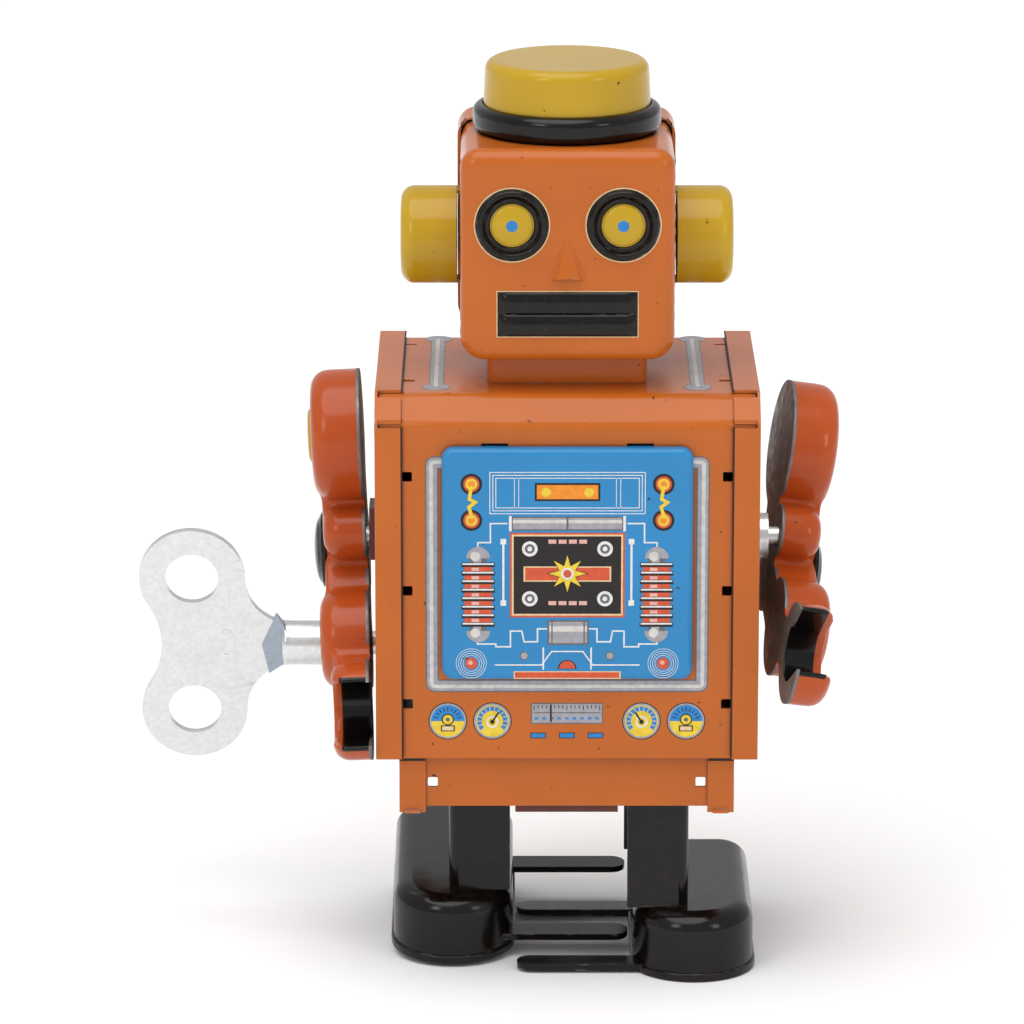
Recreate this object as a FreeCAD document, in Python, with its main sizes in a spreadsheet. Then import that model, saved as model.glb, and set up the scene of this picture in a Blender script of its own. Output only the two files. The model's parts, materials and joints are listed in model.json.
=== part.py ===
"""Tin wind-up robot, in millimetres.

X is across the body, -Y is the robot's front and +Z is up. The origin is on the ground, midway
between the sides of the body. "left" and "right" are the sides at -X and +X.
"""

import FreeCAD, Part
import math
import os
from types import SimpleNamespace

import Sketcher

Vector = FreeCAD.Vector
Rotation = FreeCAD.Rotation
doc = FreeCAD.newDocument("TinRobot")

SIDES = {"left": -1, "right": 1}

# how far a cutting tool reaches past the sheet that it cuts
OVER = 1.0
# y and width of the slots along the top edges of the body
TOP_SLOTS = ((-7.5, 0.9), (12.0, 0.4))

DIMENSIONS = {
    # sheet metal
    "tin": 0.4,
    "fit": 0.05,
    # body
    "body_half_width": 23.3,
    "body_half_depth": 18.0,
    "body_bottom": 28.5,
    "body_top": 74.0,
    "bevel": 3.3,
    "side_flange": 3.25,
    "notch": 1.1,
    "square_hole": 1.2,
    "square_hole_x": 19.4,
    "square_hole_step": 14.28,
    "square_hole_low": 35.45,
    "wrap_bend": 2.0,
    "top_slot_inner": 18.6,
    "top_slot_outer": 20.0,
    "key_hole_play": 0.5,
    # skirt
    "skirt_half_width": 20.5,
    "skirt_half_depth": 16.6,
    "skirt_bottom": 21.3,
    "skirt_top": 31.0,
    "skirt_hole_x": 16.4,
    "skirt_hole_z": 25.1,
    "skirt_lift": 0.7,
    "skirt_ledge": 4.1,
    "lip_inset": 0.6,
    # base strap and its screws
    "strap_half_width": 6.3,
    "strap_sheet": 0.5,
    "strap_drop": 0.2,
    "strap_rise": 4.0,
    "screw_y": 8.0,
    "screw_radius": 0.8,
    # chest panel
    "panel_half_width": 15.2,
    "panel_bottom": 38.9,
    "panel_top": 67.85,
    "panel_front": 19.2,
    "panel_corner": 1.4,
    "panel_edge": 0.8,
    "panel_tab_x": 8.8,
    "panel_tab_width": 3.1,
    # head
    "neck_half_width": 9.75,
    "neck_half_depth": 9.2,
    "neck_corner": 1.2,
    "head_bottom": 77.4,
    "head_half_width": 12.95,
    "head_top": 103.4,
    "head_front": 14.0,
    "head_seam": 7.0,
    "head_overlap": 1.5,
    "head_corner_top": 2.4,
    "head_corner_bottom": 3.0,
    "head_edge": 1.8,
    "nose_width": 3.0,
    "nose_bottom": 87.7,
    "nose_top": 91.4,
    "nose_proud": 0.8,
    "cap_radius": 10.35,
    "cap_top_radius": 9.95,
    "cap_top": 112.1,
    "cap_edge": 1.3,
    "band_radius": 11.5,
    "band_top": 106.7,
    "band_edge": 1.1,
    "ear_start": 13.45,
    "ear_end": 20.3,
    "ear_radius": 6.0,
    "ear_edge": 1.7,
    "ear_z": 90.25,
    "ear_tab_half": 1.5,
    "ear_tab_reach": 1.0,
    # arms
    "arm_z": 52.0,
    "arm_shaft_radius": 1.2,
    "arm_left_plate": 24.7,
    "arm_right_plate": 26.1,
    "arm_left_roll": 2.5,
    "arm_right_roll": 9.0,
    "arm_left_yaw": 0.0,
    "arm_right_yaw": 6.0,
    "arm_swing": 14.0,
    "arm_lever": 3.08,
    "arm_lever_x": 16.2,
    "lever_sheet": 0.8,
    "lever_hub": 2.0,
    "lever_toe": 1.2,
    "lever_pin_radius": 0.6,
    "lever_pin_end": 13.2,
    "bush_radius": 2.2,
    "bush_inside": 2.6,
    "bush_left_gap": 0.35,
    "bush_right_gap": 1.1,
    "bush_block_half": 2.6,
    "bush_block_below": 2.4,
    "bush_block_above": 4.2,
    "collar_radius": 2.9,
    "disc_radius": 3.4,
    "boss_radius": 4.8,
    "claw_gap": 3.5,
    "claw_flare": 0.8,
    # legs
    "hip_z": 66.0,
    "hip_radius": 1.0,
    "hip_play": 0.2,
    "leg_left_outer": 14.5,
    "leg_right_outer": 15.05,
    "leg_left_inner": 6.95,
    "leg_right_inner": 7.5,
    "leg_sheet": 0.5,
    "leg_front": 15.0,
    "leg_back": 9.0,
    "leg_bend": 1.2,
    "leg_channel_top": 30.0,
    "leg_strap_front": 7.0,
    "leg_strap_back": 3.6,
    "leg_strap_top": 69.5,
    "leg_swing": 5.0,
    "leg_lift": 1.74,
    "crank_window_front": 5.4,
    "crank_window_back": 2.3,
    "crank_window_low": 26.8,
    "crank_window_high": 33.4,
    "arm_slot_half": 0.75,
    "arm_slot_low": 46.2,
    "arm_slot_high": 50.4,
    # feet
    "foot_left_x": -14.05,
    "foot_right_x": 15.73,
    "foot_radius": 7.75,
    "foot_toe": 18.8,
    "foot_heel": 15.4,
    "foot_heel_corner": 4.0,
    "foot_top": 8.5,
    "foot_edge": 2.4,
    "sole_rim": 0.3,
    "sole_rim_height": 1.1,
    "sole_edge": 0.25,
    "prong_width": 3.6,
    "prong_sheet": 0.8,
    "prong_front": 5.4,
    "prong_back": 27.0,
    "prong_left_z": 1.8,
    "prong_right_z": 0.4,
    "prong_left_tip": 7.7,
    "prong_right_tip": -6.1,
    # motor
    "motor_half_width": 6.4,
    "motor_sheet": 0.8,
    "motor_half_depth": 13.5,
    "motor_bottom": 22.4,
    "motor_top": 60.0,
    "motor_corner": 2.0,
    "pillar_radius": 1.0,
    "pillar_y": 11.0,
    "pillar_low": 25.2,
    "pillar_high": 57.0,
    "gear_module": 0.4,
    "arbor_radius": 1.5,
    "arbor_y": 8.0,
    "arbor_z": 36.0,
    "second_radius": 0.8,
    "crank_z": 31.0,
    "crank_radius": 1.0,
    "crank_throw": 1.53,
    "crank_pin_radius": 0.5,
    "escape_radius": 3.4,
    # key
    "key_lobe_x": 46.8,
    "key_lobe_z": 9.2,
    "key_lobe_radius": 6.65,
    "key_hole_radius": 3.35,
    "key_sheet": 1.0,
    "key_hub_x": 34.0,
    "key_shank_radius": 2.8,
    "key_shank_start": 24.6,
    "key_shank_end": 35.6,
    "key_waist": 4.0,
    "key_bore_floor": 3.0,
    "key_tilt": 11.5,
}


class Size:
    """A number together with the spreadsheet expression that gives it."""

    def __init__(self, value, text):
        self.value = value
        self.text = text

    def _with(self, other, sign, result):
        return Size(result, f"({self.text} {sign} {expression(other)})")

    def __add__(self, other):
        return self._with(other, "+", self.value + number(other))

    def __sub__(self, other):
        return self._with(other, "-", self.value - number(other))

    def __mul__(self, other):
        return self._with(other, "*", self.value * number(other))

    def __truediv__(self, other):
        return self._with(other, "/", self.value / number(other))

    def __neg__(self):
        return self * -1

    __radd__ = __add__
    __rmul__ = __mul__

    def __rsub__(self, other):
        return -self + other


def number(size):
    return size.value if isinstance(size, Size) else size


def expression(size):
    return size.text if isinstance(size, Size) else f"({size})"


def dimension_sheet():
    sheet = doc.addObject("Spreadsheet::Sheet", "Dims")
    for row, (name, value) in enumerate(DIMENSIONS.items(), start=1):
        sheet.set(f"A{row}", name)
        sheet.set(f"B{row}", str(value))
        sheet.setAlias(f"B{row}", name)
    doc.recompute()
    sizes = {name: Size(value, f"Dims.{name}") for name, value in DIMENSIONS.items()}
    return SimpleNamespace(**sizes)


D = dimension_sheet()
NODES = {}


# ---------------------------------------------------------------- building blocks


def bind(target, prop, size):
    if isinstance(size, Size):
        target.setExpression(prop, size.text)
    else:
        setattr(target, prop, size)


def place(target, x=0.0, y=0.0, z=0.0, rotation=None):
    target.Placement = FreeCAD.Placement(
        Vector(number(x), number(y), number(z)), rotation or Rotation()
    )
    for axis, size in zip("xyz", (x, y, z)):
        if isinstance(size, Size):
            target.setExpression(f"Placement.Base.{axis}", size.text)
    return target


def block(name, x, y, z):
    """A box between two values on each axis."""
    box = doc.addObject("Part::Box", name)
    for prop, (low, high) in zip(("Length", "Width", "Height"), (x, y, z)):
        bind(box, prop, high - low)
    return place(box, x[0], y[0], z[0])


ALONG = {
    "x": Rotation(Vector(0, 1, 0), 90),
    "y": Rotation(Vector(1, 0, 0), -90),
    "z": Rotation(),
}


def rod(name, axis, start, length, radius):
    """A cylinder from the point start, along +x, +y or +z."""
    cylinder = doc.addObject("Part::Cylinder", name)
    bind(cylinder, "Radius", radius)
    bind(cylinder, "Height", length)
    return place(cylinder, *start, ALONG[axis])


def fuse(name, shapes):
    joined = doc.addObject("Part::MultiFuse", name)
    joined.Shapes = shapes
    joined.Refine = True
    return joined


def cut(name, base, tools):
    result = doc.addObject("Part::Cut", name)
    result.Base = base
    result.Tool = tools[0] if len(tools) == 1 else fuse(name + "_tool", tools)
    result.Refine = True
    return result


def rounded(name, base, radius, wanted):
    """Part fillet on the edges that the test picks."""
    doc.recompute()
    result = doc.addObject("Part::Fillet", name)
    result.Base = base
    result.Edges = [
        (index, number(radius), number(radius))
        for index, edge in enumerate(base.Shape.Edges, start=1)
        if wanted(edge.BoundBox)
    ]
    return result


def origin_plane(body, role):
    return next(item for item in body.Origin.OriginFeatures if item.Role == role)


def outline_sketch(body, name, plane, corners):
    """A closed outline of straight edges, each corner held by two dimensions."""
    sketch = body.newObject("Sketcher::SketchObject", name)
    sketch.AttachmentSupport = [(origin_plane(body, plane), "")]
    sketch.MapMode = "FlatFace"
    points = [Vector(number(u), number(v), 0) for u, v in corners]
    count = len(points)
    for i in range(count):
        sketch.addGeometry(Part.LineSegment(points[i], points[(i + 1) % count]), False)
    for i in range(count):
        sketch.addConstraint(Sketcher.Constraint("Coincident", i, 2, (i + 1) % count, 1))
    for i, (u, v) in enumerate(corners):
        for kind, size in (("DistanceX", u), ("DistanceY", v)):
            held = sketch.addConstraint(Sketcher.Constraint(kind, -1, 1, i, 1, float(number(size))))
            if isinstance(size, Size):
                sketch.setExpression(f"Constraints[{held}]", size.text)
    return sketch


def prism(name, plane, corners, length, **position):
    """A body padded from one outline."""
    body = doc.addObject("PartDesign::Body", name)
    pad = body.newObject("PartDesign::Pad", name + "_pad")
    pad.Profile = outline_sketch(body, name + "_outline", plane, corners)
    bind(pad, "Length", length)
    return place(body, **position)


def turned(name, corners, rounding=(), **position):
    """A body revolved about z from a profile of (radius, height) corners, with rounded rims."""
    body = doc.addObject("PartDesign::Body", name)
    turn = body.newObject("PartDesign::Revolution", name + "_turn")
    profile = outline_sketch(body, name + "_profile", "XZ_Plane", corners)
    turn.Profile = profile
    turn.ReferenceAxis = (profile, ["V_Axis"])
    turn.Angle = 360
    last = turn
    for step, (size, radius, height) in enumerate(rounding):
        last = rim_fillet(body, last, f"{name}_rim{step}", size, radius, height)
    return place(body, **position)


def rim_fillet(body, last, name, size, radius, height):
    """Rounds the rim of the given radius that lies at the given height."""
    doc.recompute()
    rims = [
        f"Edge{index}"
        for index, edge in enumerate(last.Shape.Edges, start=1)
        if edge.BoundBox.ZLength < 1e-3
        and abs(edge.BoundBox.ZMax - number(height)) < 1e-3
        and abs(edge.BoundBox.XMax - number(radius)) < 1e-3
    ]
    fillet = body.newObject("PartDesign::Fillet", name)
    fillet.Base = (last, rims)
    bind(fillet, "Radius", size)
    return fillet


def body_fillet(body, last, name, size, wanted):
    doc.recompute()
    edges = [
        f"Edge{index}"
        for index, edge in enumerate(last.Shape.Edges, start=1)
        if wanted(edge.BoundBox)
    ]
    fillet = body.newObject("PartDesign::Fillet", name)
    fillet.Base = (last, edges)
    bind(fillet, "Radius", size)
    return fillet


def hollowed(body, last, name, sheet, open_face):
    """Hollows a solid to a sheet, leaving out the flat face that the test picks."""
    doc.recompute()
    faces = [
        f"Face{index}"
        for index, face in enumerate(last.Shape.Faces, start=1)
        if open_face(face.BoundBox)
    ]
    shell = body.newObject("PartDesign::Thickness", name)
    shell.Base = (last, faces)
    bind(shell, "Value", sheet)
    shell.Reversed = True
    return shell


def formed(name, shape, **position):
    """A shape made in code, where no primitive or sketch feature fits."""
    feature = doc.addObject("Part::Feature", name)
    feature.Shape = shape
    return place(feature, **position)


def node(label, result):
    result.Label = label
    NODES[label] = result
    return result


def span(side, inner, outer):
    """The x range between two distances from the middle, on one side."""
    return (inner, outer) if side > 0 else (-outer, -inner)


# ---------------------------------------------------------------- body


def body_outline(inset):
    """The body's side view, shrunk by a sheet's thickness or more."""
    depth = D.body_half_depth - inset
    top = D.body_top - inset
    lean = inset * (2 - math.sqrt(2))
    run = D.bevel - lean
    return [
        (-depth, D.body_bottom),
        (-depth, top - run),
        (-depth + run, top),
        (depth, top),
        (depth, D.body_bottom),
    ]


def build_body_wrap():
    half = D.body_half_width - D.tin
    high = number(D.body_top) - 2 * number(D.bevel)

    def bend(b):
        return b.YLength < 1e-3 and b.ZLength < 1e-3 and b.ZMin > high

    outside = rounded(
        "wrap_outside_bends",
        prism("wrap_outside", "YZ_Plane", body_outline(D.tin), half * 2, x=-half),
        D.wrap_bend,
        bend,
    )
    inside = rounded(
        "wrap_inside_bends",
        prism("wrap_inside", "YZ_Plane", body_outline(D.tin * 2), half * 2, x=-half),
        D.wrap_bend - D.tin,
        bend,
    )
    holes = []
    back = D.body_half_depth
    for side, sign in SIDES.items():
        for row in range(3):
            x = D.square_hole_x * sign
            z = D.square_hole_low + D.square_hole_step * row
            holes.append(
                block(
                    f"square_hole_{side}_{row}",
                    (x - D.square_hole / 2, x + D.square_hole / 2),
                    (-back, back),
                    (z - D.square_hole / 2, z + D.square_hole / 2),
                )
            )
        tab = D.panel_tab_x * sign
        holes.append(
            block(
                f"panel_slot_{side}",
                (tab - D.panel_tab_width / 2 - D.fit, tab + D.panel_tab_width / 2 + D.fit),
                (-back, -back + D.tin * 3),
                (D.panel_top - D.tin - D.fit, D.panel_top + D.fit * 6),
            )
        )
        for slot_y, width in TOP_SLOTS:
            holes.append(
                block(
                    f"top_slot_{side}_{width}",
                    span(sign, D.top_slot_inner, D.top_slot_outer),
                    (slot_y - width / 2, slot_y + width / 2),
                    (D.body_top - D.tin * 3, D.body_top),
                )
            )
    node("body_wrap", cut("BodyWrap", outside, [inside] + holes))


def build_body_side(side, sign):
    sheet_x = span(sign, D.body_half_width - D.side_flange, D.body_half_width)
    outside = prism(
        f"side_outside_{side}", "YZ_Plane", body_outline(0.0), D.side_flange, x=sheet_x[0]
    )
    hollow_x = span(sign, D.body_half_width - D.side_flange, D.body_half_width - D.tin)
    inside = prism(
        f"side_inside_{side}", "YZ_Plane", body_outline(D.tin), D.side_flange - D.tin, x=hollow_x[0]
    )
    front = -D.body_half_depth
    corner = D.body_top - D.bevel
    notches = [
        block(
            f"front_notch_{side}",
            hollow_x,
            (front, front + D.tin),
            (corner - D.notch / 2, corner + D.notch / 2),
        ),
        block(
            f"top_notch_{side}",
            hollow_x,
            (front + D.bevel - D.notch / 2, front + D.bevel + D.notch / 2),
            (D.body_top - D.tin * 2, D.body_top),
        ),
    ]
    drill = OVER * 2
    start = span(sign, D.body_half_width - OVER, D.body_half_width + OVER)[0]
    holes = [
        rod(f"arm_hole_{side}", "x", (start, 0.0, D.arm_z), drill, D.bush_radius),
        rod(f"hip_hole_{side}", "x", (start, 0.0, D.hip_z), drill, D.hip_radius),
    ]
    if side == "left":
        bore = D.arbor_radius + D.key_hole_play
        holes.append(rod("key_hole", "x", (start, D.arbor_y, D.arbor_z), drill, bore))
    node(f"body_side_{side}", cut(f"BodySide_{side}", outside, [inside] + notches + holes))


def build_skirt_wrap():
    half = D.skirt_half_width - D.tin
    outer = D.skirt_half_depth - D.tin
    rim_x = D.body_half_width - D.tin
    rim_y = D.body_half_depth - D.tin * 2
    rim = block(
        "skirt_rim", (-rim_x, rim_x), (-rim_y, rim_y), (D.skirt_top - D.tin, D.skirt_top)
    )
    walls = [
        block(
            f"skirt_wall_{way}",
            (-half, half),
            (outer * way - D.tin * (way + 1) / 2, outer * way - D.tin * (way - 1) / 2),
            (D.skirt_bottom + D.skirt_lift, D.skirt_top - D.tin),
        )
        for way in (-1, 1)
    ]
    opening = block(
        "skirt_opening",
        (-(half - D.skirt_ledge), half - D.skirt_ledge),
        (-(outer - D.tin), outer - D.tin),
        (D.skirt_top - OVER, D.skirt_top + OVER),
    )
    holes = [
        block(
            f"skirt_hole_{side}",
            (
                D.skirt_hole_x * sign - D.square_hole / 2,
                D.skirt_hole_x * sign + D.square_hole / 2,
            ),
            (-D.skirt_half_depth, D.skirt_half_depth),
            (D.skirt_hole_z - D.square_hole / 2, D.skirt_hole_z + D.square_hole / 2),
        )
        for side, sign in SIDES.items()
    ]
    node("skirt_wrap", cut("SkirtWrap", fuse("skirt_sheet", [rim] + walls), [opening] + holes))


def build_skirt_side(side, sign):
    height = (D.skirt_bottom, D.skirt_top - D.tin)
    depth = D.skirt_half_depth
    outside = block(
        f"skirt_side_outside_{side}",
        span(sign, D.skirt_half_width - D.side_flange, D.skirt_half_width),
        (-depth, depth),
        height,
    )
    inside = block(
        f"skirt_side_inside_{side}",
        span(sign, D.skirt_half_width - D.side_flange, D.skirt_half_width - D.tin),
        (-(depth - D.tin), depth - D.tin),
        height,
    )
    lip_x = span(
        sign, D.skirt_half_width - D.side_flange + D.lip_inset, D.skirt_half_width - D.lip_inset
    )
    lips = [
        block(
            f"skirt_lip_{side}_{way}",
            lip_x,
            (depth * way - D.tin * (1 - way) / 2, depth * way + D.tin * (1 + way) / 2),
            (D.skirt_bottom, D.skirt_bottom + D.tin),
        )
        for way in (-1, 1)
    ]
    pan = cut(f"skirt_pan_{side}", outside, [inside])
    node(f"skirt_side_{side}", fuse(f"SkirtSide_{side}", [pan] + lips))


def build_base_strap():
    """The strap under the skirt that carries the motor, and its two screws."""
    half = D.skirt_half_depth - D.tin * 2
    bottom = D.skirt_bottom - D.strap_drop
    top = D.motor_bottom - D.motor_sheet
    upright = D.strap_sheet
    width = (-D.strap_half_width, D.strap_half_width)
    strap = [block("strap_floor", width, (-half, half), (bottom, top))]
    for way in (-1, 1):
        strap.append(
            block(
                f"strap_upright_{way}",
                width,
                (half * way - upright * (way + 1) / 2, half * way - upright * (way - 1) / 2),
                (bottom, bottom + D.strap_rise),
            )
        )
    holes = [
        rod(
            f"strap_hole_{way}",
            "z",
            (0.0, D.screw_y * way, bottom - OVER),
            4.0 * OVER,
            D.screw_radius + D.fit,
        )
        for way in (-1, 1)
    ]
    node("base_strap", cut("BaseStrap", fuse("strap_sheet", strap), holes))
    head_height = 0.8
    head_radius = 1.65
    stem_length = 2.6
    slot_depth = 0.4
    slot_half = 0.2
    slot_reach = 2.0
    screws = []
    for way in (-1, 1):
        y = D.screw_y * way
        head = rod(f"screw_head_{way}", "z", (0.0, y, bottom - head_height), head_height, head_radius)
        stem_z = bottom - slot_depth
        stem = rod(f"screw_stem_{way}", "z", (0.0, y, stem_z), stem_length, D.screw_radius)
        slot = block(
            f"screw_slot_{way}",
            (-slot_reach, slot_reach),
            (y - slot_half, y + slot_half),
            (bottom - head_height - slot_half, bottom - slot_depth),
        )
        screws.append(cut(f"screw_{way}", fuse(f"screw_blank_{way}", [head, stem]), [slot]))
    node("base_screws", fuse("BaseScrews", screws))


def build_chest_panel():
    body = doc.addObject("PartDesign::Body", "ChestPan")
    half = D.panel_half_width
    pad = body.newObject("PartDesign::Pad", "panel_pad")
    pad.Profile = outline_sketch(
        body,
        "panel_outline",
        "XZ_Plane",
        [
            (-half, D.panel_bottom),
            (half, D.panel_bottom),
            (half, D.panel_top),
            (-half, D.panel_top),
        ],
    )
    bind(pad, "Length", D.panel_front - D.body_half_depth + D.tin)
    pad.Reversed = False
    corners = body_fillet(
        body, pad, "panel_corners", D.panel_corner, lambda b: b.XLength < 1e-3 and b.ZLength < 1e-3
    )
    doc.recompute()
    face_y = min(face.BoundBox.YMin for face in corners.Shape.Faces)
    edge = body_fillet(
        body, corners, "panel_edge_round", D.panel_edge, lambda b: abs(b.YMax - face_y) < 1e-3
    )
    doc.recompute()
    back_y = edge.Shape.BoundBox.YMax
    hollowed(
        body,
        edge,
        "panel_sheet",
        D.tin,
        lambda b: b.YLength < 1e-3 and abs(b.YMax - back_y) < 1e-3,
    )
    place(body, y=-(D.body_half_depth - D.tin))
    tab_proud = 0.1
    tab_tuck = 1.6
    tabs = [
        block(
            f"panel_tab_{side}",
            (
                D.panel_tab_x * sign - D.panel_tab_width / 2,
                D.panel_tab_x * sign + D.panel_tab_width / 2,
            ),
            (-(D.body_half_depth + tab_proud), -(D.body_half_depth - tab_tuck)),
            (D.panel_top - D.tin, D.panel_top),
        )
        for side, sign in SIDES.items()
    ]
    node("chest_panel", fuse("ChestPanel", [body] + tabs))


# ---------------------------------------------------------------- head


def build_neck():
    low = D.body_top - D.tin
    outside = block(
        "neck_outside",
        (-D.neck_half_width, D.neck_half_width),
        (-D.neck_half_depth, D.neck_half_depth),
        (low, D.head_bottom),
    )
    body = rounded(
        "neck_rounded", outside, D.neck_corner, lambda b: b.XLength < 1e-3 and b.YLength < 1e-3
    )
    inside = block(
        "neck_inside",
        (-(D.neck_half_width - D.tin), D.neck_half_width - D.tin),
        (-(D.neck_half_depth - D.tin), D.neck_half_depth - D.tin),
        (low, D.head_bottom),
    )
    hollow = rounded(
        "neck_hollow", inside, D.neck_corner - D.tin, lambda b: b.XLength < 1e-3 and b.YLength < 1e-3
    )
    node("neck_tube", cut("NeckTube", body, [hollow]))


def head_pan(name, half, bottom, top, depth, edge_size, open_back):
    """A pan pressed along y: rounded corners, a rounded rim, and one open side."""
    body = doc.addObject("PartDesign::Body", name)
    pad = body.newObject("PartDesign::Pad", name + "_pad")
    pad.Profile = outline_sketch(
        body,
        name + "_outline",
        "XZ_Plane",
        [(-half, bottom), (half, bottom), (half, top), (-half, top)],
    )
    bind(pad, "Length", depth)
    middle = (number(bottom) + number(top)) / 2

    def straight(b):
        return b.XLength < 1e-3 and b.ZLength < 1e-3

    upper = body_fillet(
        body, pad, name + "_upper", D.head_corner_top, lambda b: straight(b) and b.ZMin > middle
    )
    lower = body_fillet(
        body, upper, name + "_lower", D.head_corner_bottom, lambda b: straight(b) and b.ZMin < middle
    )
    doc.recompute()
    box = lower.Shape.BoundBox
    closed_y, open_y = (box.YMin, box.YMax) if open_back else (box.YMax, box.YMin)
    rim = body_fillet(
        body,
        lower,
        name + "_rim",
        edge_size,
        lambda b: b.YLength < 1e-3 and abs(b.YMax - closed_y) < 1e-3,
    )
    hollowed(
        body,
        rim,
        name + "_sheet",
        D.tin,
        lambda b: b.YLength < 1e-3 and abs(b.YMax - open_y) < 1e-3,
    )
    return body


def build_head():
    front_depth = D.head_front + D.head_seam
    front = head_pan(
        "FrontPan", D.head_half_width, D.head_bottom, D.head_top, front_depth, D.head_edge, True
    )
    place(front, y=D.head_seam)
    nose = doc.addObject("Part::Wedge", "nose")
    half = D.nose_width / 2
    height = D.nose_top - D.nose_bottom
    taper = 0.3
    for prop, size in (
        ("Xmin", -half),
        ("Xmax", half),
        ("Ymin", 0.0),
        ("Ymax", height),
        ("Zmin", 0.0),
        ("Zmax", D.nose_proud),
        ("X2min", -half * taper),
        ("X2max", half * taper),
        ("Z2min", 0.0),
        ("Z2max", D.nose_proud * taper),
    ):
        bind(nose, prop, size)
    place(nose, y=-D.head_front + D.fit, z=D.nose_bottom, rotation=Rotation(Vector(1, 0, 0), 90))
    node("head_front", fuse("HeadFront", [front, nose]))

    proud = D.tin + D.fit
    back_depth = D.head_front - (D.head_seam - D.head_overlap)
    back = head_pan(
        "BackPan",
        D.head_half_width + proud,
        D.head_bottom,
        D.head_top + D.tin,
        back_depth,
        D.head_edge,
        False,
    )
    place(back, y=D.head_front)
    envelope = block(
        "front_envelope",
        (-(D.head_half_width + D.fit), D.head_half_width + D.fit),
        (0.0, D.head_seam),
        (D.head_bottom - OVER, D.head_top),
    )
    node("head_back", cut("HeadBack", back, [envelope]))


def build_cap():
    low = D.head_top
    wide = 20.0
    step = block(
        "head_back_step",
        (-wide, wide),
        (D.head_seam - D.head_overlap - D.fit, wide),
        (low - OVER, low + D.tin),
    )
    inner = D.cap_radius - D.tin
    crown = turned(
        "crown_cup",
        [
            (inner, low),
            (D.cap_radius, low),
            (D.cap_top_radius, D.cap_top),
            (0.0, D.cap_top),
            (0.0, D.cap_top - D.tin),
            (D.cap_top_radius - D.tin, D.cap_top - D.tin),
        ],
        [
            (D.cap_edge, D.cap_top_radius, D.cap_top),
            (D.cap_edge - D.tin, D.cap_top_radius - D.tin, D.cap_top - D.tin),
        ],
    )
    node("cap_crown", cut("CapCrown", crown, [step]))
    band = turned(
        "band_ring",
        [
            (D.cap_radius, low),
            (D.band_radius, low),
            (D.band_radius, D.band_top),
            (D.cap_radius, D.band_top),
        ],
        [
            (D.band_edge, D.band_radius, D.band_top),
            (D.band_edge, D.band_radius, low),
        ],
    )
    plug = doc.addObject("Part::Cone", "band_bore")
    bind(plug, "Radius1", D.cap_radius)
    bind(plug, "Radius2", D.cap_top_radius)
    bind(plug, "Height", D.cap_top - low)
    place(plug, z=low)
    node("cap_band", cut("CapBand", band, [step, plug]))


def build_ear(side, sign):
    depth = D.ear_end - D.ear_start
    radius = D.ear_radius
    cup = turned(
        f"ear_cup_{side}",
        [
            (radius - D.tin, 0.0),
            (radius, 0.0),
            (radius, depth),
            (0.0, depth),
            (0.0, depth - D.tin),
            (radius - D.tin, depth - D.tin),
        ],
        [
            (D.ear_edge, radius, depth),
            (D.ear_edge - D.tin, radius - D.tin, depth - D.tin),
        ],
        x=D.ear_start * sign,
        z=D.ear_z,
        rotation=Rotation(Vector(0, 1, 0), 90 * sign),
    )
    tabs = [
        block(
            f"ear_tab_{side}_{way}",
            span(sign, D.head_half_width, D.ear_start + D.ear_tab_reach),
            (-D.ear_tab_half, D.ear_tab_half),
            (
                D.ear_z + way * (radius - D.tin) - D.tin / 2,
                D.ear_z + way * (radius - D.tin) + D.tin / 2,
            ),
        )
        for way in (-1, 1)
    ]
    node(f"ear_{side}", fuse(f"Ear_{side}", [cup] + tabs))


# ---------------------------------------------------------------- arms

# Lobes of an arm seen from the side, with the hand held straight forward:
# forward of the shaft, above the shaft, radius and depth of the pressing.
ARM_LOBES = {
    "shoulder": (-5.55, 11.5, 8.1, 6.2),
    "pivot": (-0.4, 0.6, 3.4, 5.4),
    "elbow": (-4.6, -4.2, 5.3, 5.6),
    "forearm": (6.1, -11.1, 6.1, 6.2),
    "hand": (18.6, -14.0, 6.2, 4.8),
}
# the two lobes that a bridge joins, its width and its depth
ARM_BRIDGES = (
    ("shoulder", "elbow", 8.0, 5.4),
    ("elbow", "forearm", 7.0, 5.4),
    ("forearm", "hand", 6.0, 4.4),
)
CLAW_DIRECTION = 23.0
ARM_EDGE = 1.8
# the round stampings on the arm: height above the pressing, depth sunk into it, edge
DISC_PROUD = 0.6
BOSS_PROUD = 1.2
SUNK = 0.2
BOSS_EDGE = 0.9
SLIVER = 0.01


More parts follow.
